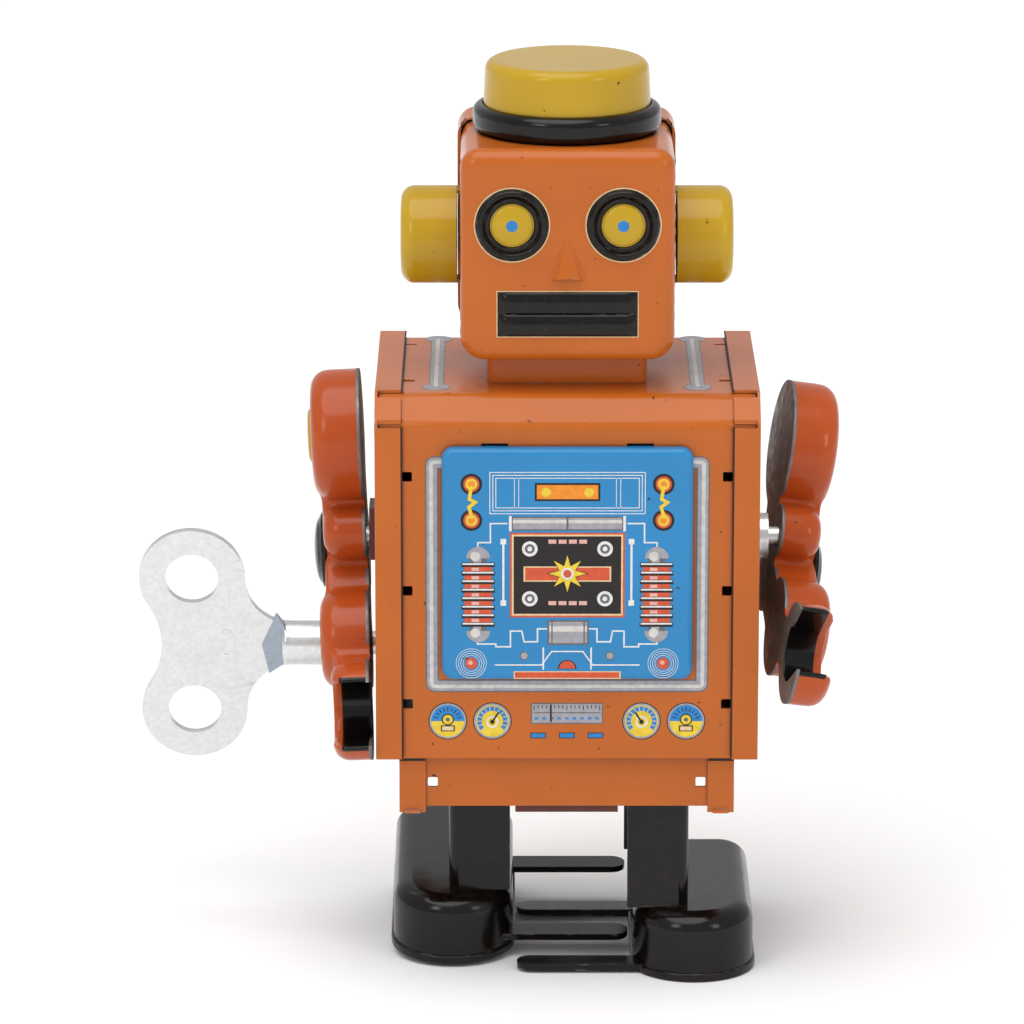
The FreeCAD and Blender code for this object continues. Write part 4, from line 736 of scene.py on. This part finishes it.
def make_eyes():
    rim = [(4.45, -0.1), (4.45, 0.02), (4.3, 0.06)]
    rim += arc((3.86, 0.1), 0.4, 0, 180, 8)
    rim += [(3.36, 0.06)]
    rim += arc((3.0, 0.1), 0.32, 0, 180, 8)
    rim += [(2.58, 0.06), (2.58, -0.1), (4.45, -0.1)]
    dome = [(0.0, -0.1), (2.64, -0.1), (2.64, 0.18)] + crown(2.5, 0.2, 0.5)
    pupil = [(0.0, 0.6), (0.7, 0.6), (0.7, 0.69), (0.5, 0.715), (0.0, 0.725)]
    for side, sign in SIDES.items():
        place = face_matrix(EYE_X * sign, -HEAD_FRONT, EYE_Z, (0, -1, 0))
        verts, faces = lathe_mesh(rim, place)
        piece(f"eye_ring_{side}", verts, faces, MATERIALS["enamel_black"], "body")
        verts, faces = lathe_mesh(dome, place)
        piece(f"eye_disc_{side}", verts, faces, MATERIALS["enamel_yellow"], "body")
        verts, faces = lathe_mesh(pupil, place, 32)
        piece(f"eye_pupil_{side}", verts, faces, INKS["blue"], "body")

    art = Print("eye_print", (0, -HEAD_FRONT, EYE_Z), (1, 0, 0), (0, 0, 1))
    for sign in SIDES.values():
        art.disc("cream", EYE_X * sign, 0, 4.6, 1, 4.43)
    art.make()


def make_mouth():
    """Black grille pressed into two broad ridges, with a thin pale outline."""
    half, low, high, outline = 8.45, 80.6, 86.1, 0.12
    art = Print("mouth_print", (0, -HEAD_FRONT, 0), (1, 0, 0), (0, 0, 1))
    art.bar("cream", 0, half + outline, low - outline, high + outline, 1)
    art.make()

    ridges = 2
    flat, foot, swell = 0.06, 0.08, 0.5
    # the ridges die away over this share of the width at each end
    fade_share = 1 / 14
    columns, rows = 60, 48
    verts = []
    for column in range(columns + 1):
        across = column / columns
        x = half * (2 * across - 1)
        fade = min(1.0, min(across, 1 - across) / fade_share)
        for row in range(rows + 1):
            up = row / rows
            ridge = foot + swell * math.sin(math.pi * (up * ridges % 1.0)) ** 0.7
            z = low + (high - low) * up
            verts.append((x, -HEAD_FRONT - flat - (ridge - flat) * fade, z))
    faces = []
    for column in range(columns):
        for row in range(rows):
            a = column * (rows + 1) + row
            faces.append((a, a + rows + 1, a + rows + 2, a + 1))
    made = piece("mouth_grille", verts, faces, MATERIALS["enamel_black"], "body")
    shell = made.modifiers.new("sheet", "SOLIDIFY")
    shell.thickness = 0.25 * MM
    shell.offset = -1.0


def make_head_seam():
    """Small dark dents along the head's side walls."""
    dents, lowest, pitch = 12, 80.6, 1.9
    wall_x, seam_y = 12.95, -11.0
    half_deep, half_wide, half_tall = 0.05, 0.13, 0.45
    corners = ((-1, -1), (1, -1), (1, 1), (-1, 1))
    verts = []
    faces = []
    for sign in SIDES.values():
        for dent in range(dents):
            z = lowest + pitch * dent
            base = len(verts)
            for x in (wall_x - half_deep, wall_x + half_deep):
                verts += [(x * sign, seam_y + half_wide * a, z + half_tall * b) for a, b in corners]
            faces.append((base, base + 1, base + 2, base + 3))
            faces.append((base + 4, base + 5, base + 6, base + 7))
            for k in range(4):
                after = (k + 1) % 4
                faces.append((base + k, base + after, base + 4 + after, base + 4 + k))
    piece("head_dents", verts, faces, INKS["black"], "body", smooth=False)


def make_nose():
    """A small embossed wedge between the eyes, wider and prouder towards its foot."""
    top, height = 92.6, 5.1
    half_top, half_growth, foot_rise = 0.25, 2.1, 1.15
    # the foot falls back to the face over this share of the height
    ledge_share = 0.06
    root = 0.02
    columns, rows = 20, 26
    verts = []
    for row in range(rows + 1):
        down = row / rows
        z = top - height * down
        half = half_top + half_growth * down
        proud = foot_rise * down**0.9
        ledge = min(1.0, (1.0 - down) / ledge_share)
        for column in range(columns + 1):
            across = 2.0 * column / columns - 1.0
            tent = 1.0 - math.sqrt(across * across + 0.02) + 0.01
            rise = proud * max(0.0, tent) ** 0.85 * ledge
            verts.append((half * across, -HEAD_FRONT - root - rise, z))
    base = len(verts)
    verts += [(x, -HEAD_FRONT + 0.2, z) for x, _, z in verts]
    width = columns + 1
    faces = []
    for row in range(rows):
        for column in range(columns):
            k = row * width + column
            loop = (k, k + 1, k + width + 1, k + width)
            faces.append(loop)
            faces.append(tuple(base + corner for corner in reversed(loop)))
    border = list(range(width)) + [row * width + columns for row in range(1, rows + 1)]
    border += [rows * width + column for column in range(columns - 1, -1, -1)]
    border += [row * width for row in range(rows - 1, 0, -1)]
    for first, second in zip(border, border[1:] + border[:1]):
        faces.append((first, base + first, base + second, second))
    piece("nose", verts, faces, MATERIALS["enamel_orange"], "body")


# ---------------------------------------------------------------- seams, lips and key


def make_seams():
    """Painted shade: dark lines laid in the gaps where the side plates' flanges end on the wrap, in front
    and on top.
    """
    seam_x, half = 20.05, 0.1
    front = Print("front_seam", (0, -BODY_FRONT - TIN, 0), (1, 0, 0), (0, 0, 1))
    top = Print("top_seam", (0, 0, BODY_TOP + TIN), (1, 0, 0), (0, 1, 0))
    for sign in SIDES.values():
        # painted shade along the gap at each flange's edge
        front.bar("painted_shade", seam_x * sign, half, 28.7, 70.4, 1)
        top.bar("painted_shade", seam_x * sign, half, -14.4, 17.8, 1)
    front.make()
    top.make()


def make_skirt_lips():
    """Bare metal lips at the foot of the skirt's corner flanges, and above each a dark line of painted
    shade on the skirt, under the body.
    """
    corner_x = 18.9
    art = Print("skirt_lip", (0, -SKIRT_FRONT, 0), (1, 0, 0), (0, 0, 1))
    for sign in SIDES.values():
        art.bar("pale", corner_x * sign, 1.0, 21.32, 21.75, 1)
    for sign in SIDES.values():
        # painted shade on the skirt, just under the body
        art.bar("painted_shade", corner_x * sign, 1.6, 27.9, 28.3, 1)
    art.make()


def key_matrix():
    """The key lies in its own plane, tilted about the winding arbor."""
    turn = Matrix.Rotation(math.radians(KEY_TILT), 4, "X")
    return Matrix.Translation((0, KEY_SHAFT_Y, KEY_SHAFT_Z)) @ turn


def make_key_details():
    """The fold where the key's blade closes round its shank, in darker steel as painted shade, and the
    plain oval stamped in the blade.
    """
    place = key_matrix()
    # along the shank, across the blade, height of the fold
    outline = ((-36.3, 4.3, 0.5), (-33.2, 0.0, 2.75), (-37.3, -4.1, 0.5), (-38.2, 0.0, 0.5))
    verts = [place @ Vector((x, -depth, z)) for x, z, depth in outline]
    verts += [place @ Vector((x, 0.0, z)) for x, z, _ in outline]
    faces = [(0, 3, 1), (3, 2, 1), (4, 5, 6, 7)]
    faces += [(k, (k + 1) % 4, (k + 1) % 4 + 4, k + 4) for k in range(4)]
    # painted shade: the fold is the blade's own plated steel, drawn in the darker spring steel for the
    # shade on it
    piece("key_fold", verts, faces, MATERIALS["spring_steel"], "winding_shaft", False)

    outer, inner, middle = 1.25, 0.85, 1.05
    ring = [(outer, -0.1), (outer, 0.06), (middle, 0.1), (inner, 0.06), (inner, -0.1), (outer, -0.1)]
    flatten = Matrix.Diagonal((0.85, 1.7, 1.0, 1.0))
    quarter = Matrix.Rotation(math.radians(90), 4, "X")
    blade_face = place @ Matrix.Translation((-42.6, -0.5, 0.0)) @ quarter
    verts, faces = lathe_mesh(ring, blade_face @ flatten, 48)
    piece("key_stamp", verts, faces, MATERIALS["plated_steel"], "winding_shaft")


# ---------------------------------------------------------------- arms


def arm_matrix(side, sign):
    """Rest place of an arm: leaned out, turned a little and swung about its shaft."""
    return (
        Matrix.Translation((ARM_PLATE_X[side] * sign, 0, ARM_SHAFT_Z))
        @ Matrix.Rotation(math.radians(ARM_YAW[side] * sign), 4, "Z")
        @ Matrix.Rotation(math.radians(ARM_ROLL[side] * sign), 4, "Y")
        @ Matrix.Rotation(math.radians(-ARM_SWING * sign), 4, "X")
    )


def apply_modifiers(made):
    bpy.context.view_layer.update()
    graph = bpy.context.evaluated_depsgraph_get()
    mesh = bpy.data.meshes.new_from_object(made.evaluated_get(graph))
    old = made.data
    made.modifiers.clear()
    made.data = mesh
    bpy.data.meshes.remove(old)


def loose_solid(name, parts):
    """Several closed solids as one object that rides on nothing yet."""
    verts = []
    faces = []
    for part_verts, part_faces in parts:
        base = len(verts)
        verts += part_verts
        faces += [tuple(k + base for k in face) for face in part_faces]
    return piece(name, verts, faces, MATERIALS["enamel_red_orange"], None)


def box_solid(lengths, matrix):
    """A block from the origin, with its width centred on Y."""
    x, y, z = lengths
    verts = [matrix @ Vector((a, b, c)) for a in (0, x) for b in (-y / 2, y / 2) for c in (0, z)]
    faces = [(0, 1, 3, 2), (4, 6, 7, 5), (0, 4, 5, 1), (2, 3, 7, 6), (0, 2, 6, 4), (1, 5, 7, 3)]
    return verts, faces


def out_of_plate(forward, up):
    """A place on the arm whose local Z points out of the plate."""
    return Matrix.Translation((0, -forward, up)) @ Matrix.Rotation(math.radians(90), 4, "Y")


def lobe_solid(forward, up, radius, depth):
    """A round pressing: a disc whose outer edge is rounded."""
    rounding = min(2.2, depth * 0.4)
    profile = [(0.0, -ARM_ROOT), (radius, -ARM_ROOT), (radius, depth - rounding)]
    profile += arc((radius - rounding, depth - rounding), rounding, 10, 90, 6)
    profile += [(0.0, depth)]
    return lathe_mesh(profile, out_of_plate(forward, up), 48)


def bridge_solid(first, second, width, depth):
    """A block that joins two lobes of the pressing."""
    start = Vector(ARM_LOBES[first][:2])
    run = Vector(ARM_LOBES[second][:2]) - start
    slope = math.atan2(run.y, -run.x)
    place = (
        Matrix.Translation((-ARM_ROOT, -start.x, start.y))
        @ Matrix.Rotation(slope, 4, "X")
        @ Matrix.Rotation(math.radians(-90), 4, "X")
    )
    return box_solid((depth + ARM_ROOT, width, run.length), place)


def claw_axis():
    """The direction that the claw's mouth opens in, forward and up."""
    turn = math.radians(CLAW_DIRECTION)
    return Vector((math.cos(turn), math.sin(turn)))


def claw_distance(y, z):
    """How far a point of the arm's plane is outside the claw's mouth, in millimetres."""
    forward, up, _, _ = ARM_LOBES["hand"]
    away = Vector((-y - forward, z - up))
    round_part = away.length - CLAW_GAP
    along = claw_axis()
    reach = away.dot(along)
    if reach <= 0:
        return round_part
    side = abs(away.x * along.y - away.y * along.x)
    wall = side - CLAW_GAP - CLAW_FLARE * reach / CLAW_REACH
    return min(round_part, wall)


def mouth_cutters():
    """The claw's mouth as two solids: a round hole, and a wedge that opens it forward."""
    forward, up, _, _ = ARM_LOBES["hand"]
    back, front = -3.0, 12.0
    profile = [(0.0, back), (CLAW_GAP, back), (CLAW_GAP, front), (0.0, front)]
    hole = lathe_mesh(profile, out_of_plate(forward, up), 48)

    along = claw_axis()
    corners = []
    for reach, half in (
        (0.0, CLAW_GAP),
        (CLAW_REACH, CLAW_GAP + CLAW_FLARE),
        (CLAW_REACH, -CLAW_GAP - CLAW_FLARE),
        (0.0, -CLAW_GAP),
    ):
        y = -forward - reach * along.x + half * along.y
        z = up + reach * along.y + half * along.x
        corners.append((y, z))
    verts = [Vector((x, y, z)) for x in (back, front) for y, z in corners]
    faces = [(3, 2, 1, 0), (4, 5, 6, 7)]
    faces += [(k, (k + 1) % 4, (k + 1) % 4 + 4, k + 4) for k in range(4)]
    return hole, (verts, faces)


def voxel_remesh(made, name, size):
    remesh = made.modifiers.new(name, "REMESH")
    remesh.mode = "VOXEL"
    remesh.voxel_size = size * MM


def arm_solid(side):
    """The arm's lobes and bridges joined, cut open at the claw and smoothed like a pressing."""
    parts = [lobe_solid(*lobe) for lobe in ARM_LOBES.values()]
    parts += [bridge_solid(*bridge) for bridge in ARM_BRIDGES]
    arm = loose_solid(f"arm_pressing_{side}", parts)
    voxel_remesh(arm, "join", PRESSING_VOXEL)
    apply_modifiers(arm)

    for number, solid in enumerate(mouth_cutters()):
        cutter = loose_solid(f"claw_cutter_{side}_{number}", [solid])
        mouth = arm.modifiers.new("claw", "BOOLEAN")
        mouth.operation = "DIFFERENCE"
        mouth.solver = "EXACT"
        mouth.object = cutter
        apply_modifiers(arm)
        bpy.data.objects.remove(cutter)

    voxel_remesh(arm, "even", 0.28)
    soften = arm.modifiers.new("press", "SMOOTH")
    soften.factor = 0.5
    soften.iterations = 14
    apply_modifiers(arm)
    return arm


def claw_paint(point, normal):
    """How much black paint a point of the pressing has: it covers the walls of the claw's mouth,
    and fades just outside them, on faces that lie flat, and towards the rim."""
    wall_fade, rim_fade = 0.35, 0.4
    flat, steep = 0.88, 0.58
    x, y, z = point
    near = (MOUTH_WALL - claw_distance(y, z)) / wall_fade
    upright = (flat - abs(normal.x)) / (flat - steep)
    inward = (ARM_LOBES["hand"][3] - CLAW_LIP - x) / rim_fade
    return max(0.0, min(1.0, near, upright, inward))


def place_pressing(arm, side, sign):
    """Opens the pressing's back, marks its paint and moves it to where the arm is."""
    place = arm_matrix(side, sign)
    mesh = bmesh.new()
    mesh.from_mesh(arm.data)
    bmesh.ops.bisect_plane(
        mesh,
        geom=mesh.verts[:] + mesh.edges[:] + mesh.faces[:],
        plane_co=(0.0, 0.0, 0.0),
        plane_no=(-1, 0, 0),
        clear_outer=True,
    )
    paint = mesh.verts.layers.float.new("claw_paint")
    for vert in mesh.verts:
        point = vert.co / MM
        vert[paint] = claw_paint(point, vert.normal)
        vert.co = (place @ Vector((point.x * sign, point.y, point.z))) * MM
    if sign < 0:
        bmesh.ops.reverse_faces(mesh, faces=mesh.faces)
    mesh.to_mesh(arm.data)
    mesh.free()
    for polygon in arm.data.polygons:
        polygon.use_smooth = True


def make_arm(side, sign):
    arm = arm_solid(side)
    place_pressing(arm, side, sign)
    sheet = arm.modifiers.new("sheet", "SOLIDIFY")
    sheet.thickness = TIN * MM
    sheet.offset = -1.0
    arm.data.materials.clear()
    arm.data.materials.append(CLAW_ENAMEL)
    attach(arm, f"{side}_arm")
    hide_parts(f"arm_shell_{side}")


def make_arm_caps(side, sign):
    """The black boss on the elbow and the yellow disc on the shoulder."""

    def on_lobe(name, sunk):
        forward, up, _, depth = ARM_LOBES[name]
        outward = Matrix.Rotation(math.radians(90 * sign), 4, "Y")
        lobe_face = Matrix.Translation((sign * (depth - sunk), -forward, up))
        return arm_matrix(side, sign) @ lobe_face @ outward

    dome = [(0.0, -0.3), (4.6, -0.3), (4.75, 0.1), (4.6, 0.55)] + crown(4.1, 0.7, 0.85, 1)
    verts, faces = lathe_mesh(dome, on_lobe("elbow", 0.35))
    piece(f"elbow_boss_{side}", verts, faces, MATERIALS["enamel_black"], f"{side}_arm")

    disc = [(0.0, -0.3), (3.4, -0.3), (3.45, 0.1), (3.2, 0.5), (2.8, 0.62), (0.0, 0.66)]
    verts, faces = lathe_mesh(disc, on_lobe("shoulder", 0.15))
    piece(f"shoulder_disc_{side}", verts, faces, MATERIALS["enamel_yellow"], f"{side}_arm")


def claw_enamel():
    """The arms' enamel with the black paint inside the claw."""
    shader = Shader("enamel_claw")
    clouds = shader.ramp(shader.noise(0.08, 2.0), 0.3, 0.7)
    paint = shader.blend(clouds, darker(RED_ORANGE, 0.92), darker(RED_ORANGE, 1.05))
    spots = shader.ramp(shader.noise(0.9, 4.0), 0.73, 0.78)
    paint = shader.blend(spots, paint, GRIME_AND_SHADE)
    mark = shader.add("ShaderNodeAttribute", attribute_name="claw_paint")
    paint = shader.blend(shader.ramp(mark.outputs["Fac"], 0.35, 0.65), paint, BLACK)
    rough = shader.ramp(shader.noise(0.15, 4.0), 0.3, 0.7, 0.13, 0.22)
    peel = shader.bump(shader.noise(0.22, 2.0), 0.05)
    return shader.finish(paint, rough, peel)


CLAW_ENAMEL = claw_enamel()

# ---------------------------------------------------------------- edges of the frame's own parts

SOFT_EDGES = {
    "body_wrap": 0.14,
    "body_side_left": 0.14,
    "body_side_right": 0.14,
    "skirt_wrap": 0.12,
    "skirt_side_left": 0.12,
    "skirt_side_right": 0.12,
    "leg_left": 0.16,
    "leg_right": 0.16,
    "foot_prongs_left": 0.28,
    "foot_prongs_right": 0.28,
    "arm_plate_left": 0.1,
    "arm_plate_right": 0.1,
    "base_strap": 0.12,
    "key": 0.16,
}
WELD_REACH = 0.002
SHARP_EDGE = 40


def soften_edges():
    """Pressed sheet has no razor edges: a narrow round along each, on top of the frame's mesh."""
    for label, width in SOFT_EDGES.items():
        cad = frame["nodes"][label]
        weld = cad.modifiers.new("weld", "WELD")
        weld.merge_threshold = WELD_REACH * MM
        bevel = cad.modifiers.new("edge", "BEVEL")
        bevel.width = width * MM
        bevel.segments = 2
        bevel.limit_method = "ANGLE"
        bevel.angle_limit = math.radians(SHARP_EDGE)
        bevel.use_clamp_overlap = True
        bevel.harden_normals = True


# ---------------------------------------------------------------- studio

# metres and degrees
CAMERA_PLACE = (-0.0067, -0.74375, 0.2488)
CAMERA_TILT = 75.4
CAMERA_VIEW = 9.436
FLOOR_REACH = 6.0


def area_light(name, place, target, size, power):
    lamp = bpy.data.lights.new(name, "AREA")
    lamp.shape = "RECTANGLE"
    lamp.size, lamp.size_y = size
    lamp.energy = power
    made = bpy.data.objects.new(name, lamp)
    made.location = place
    made.rotation_euler = (Vector(target) - Vector(place)).to_track_quat("-Z", "Y").to_euler()
    bpy.context.scene.collection.objects.link(made)


def make_studio():
    scene = bpy.context.scene
    scene.view_settings.view_transform = "Standard"
    world = bpy.data.worlds.new("studio")
    scene.world = world
    world.use_nodes = True
    background = world.node_tree.nodes["Background"]
    background.inputs["Color"].default_value = (1.0, 1.0, 1.0, 1.0)
    background.inputs["Strength"].default_value = 0.62

    floor_shader = Shader("floor_white")
    tone = floor_shader.ramp(floor_shader.noise(0.002, 2.0), 0.3, 0.7)
    floor_paint = floor_shader.blend(tone, (0.93, 0.93, 0.93, 1.0), (0.95, 0.95, 0.95, 1.0))
    floor_shader.finish(floor_paint, 0.8)
    mesh = bpy.data.meshes.new("floor")
    corners = ((-1, -1), (1, -1), (1, 1), (-1, 1))
    mesh.from_pydata([(x * FLOOR_REACH, y * FLOOR_REACH, 0) for x, y in corners], [], [(0, 1, 2, 3)])
    floor = bpy.data.objects.new("floor", mesh)
    scene.collection.objects.link(floor)
    mesh.materials.append(floor_shader.material)

    middle = (0, 0, 0.055)
    sky = bpy.data.lights.new("overhead", "SUN")
    sky.energy = 1.75
    sky.angle = math.radians(55)
    above = bpy.data.objects.new("overhead", sky)
    above.rotation_euler = (math.radians(14), math.radians(-8), 0)
    scene.collection.objects.link(above)
    area_light("front_left", (-0.5, -0.7, 0.5), middle, (0.22, 0.3), 0.9)
    area_light("front_right", (0.6, -0.6, 0.4), middle, (0.2, 0.3), 0.6)

    camera = bpy.data.cameras.new("camera")
    camera.angle = math.radians(CAMERA_VIEW)
    camera.clip_start = 0.01
    camera.clip_end = 20.0
    eye = bpy.data.objects.new("camera", camera)
    eye.location = CAMERA_PLACE
    eye.rotation_euler = (math.radians(CAMERA_TILT), 0, 0)
    scene.collection.objects.link(eye)
    scene.camera = eye


# ---------------------------------------------------------------- everything

print_panel()
print_front()
print_top()
make_eyes()
make_mouth()
make_head_seam()
make_nose()
make_seams()
make_skirt_lips()
make_key_details()
for arm_side, arm_sign in SIDES.items():
    make_arm(arm_side, arm_sign)
    make_arm_caps(arm_side, arm_sign)
soften_edges()
make_studio()
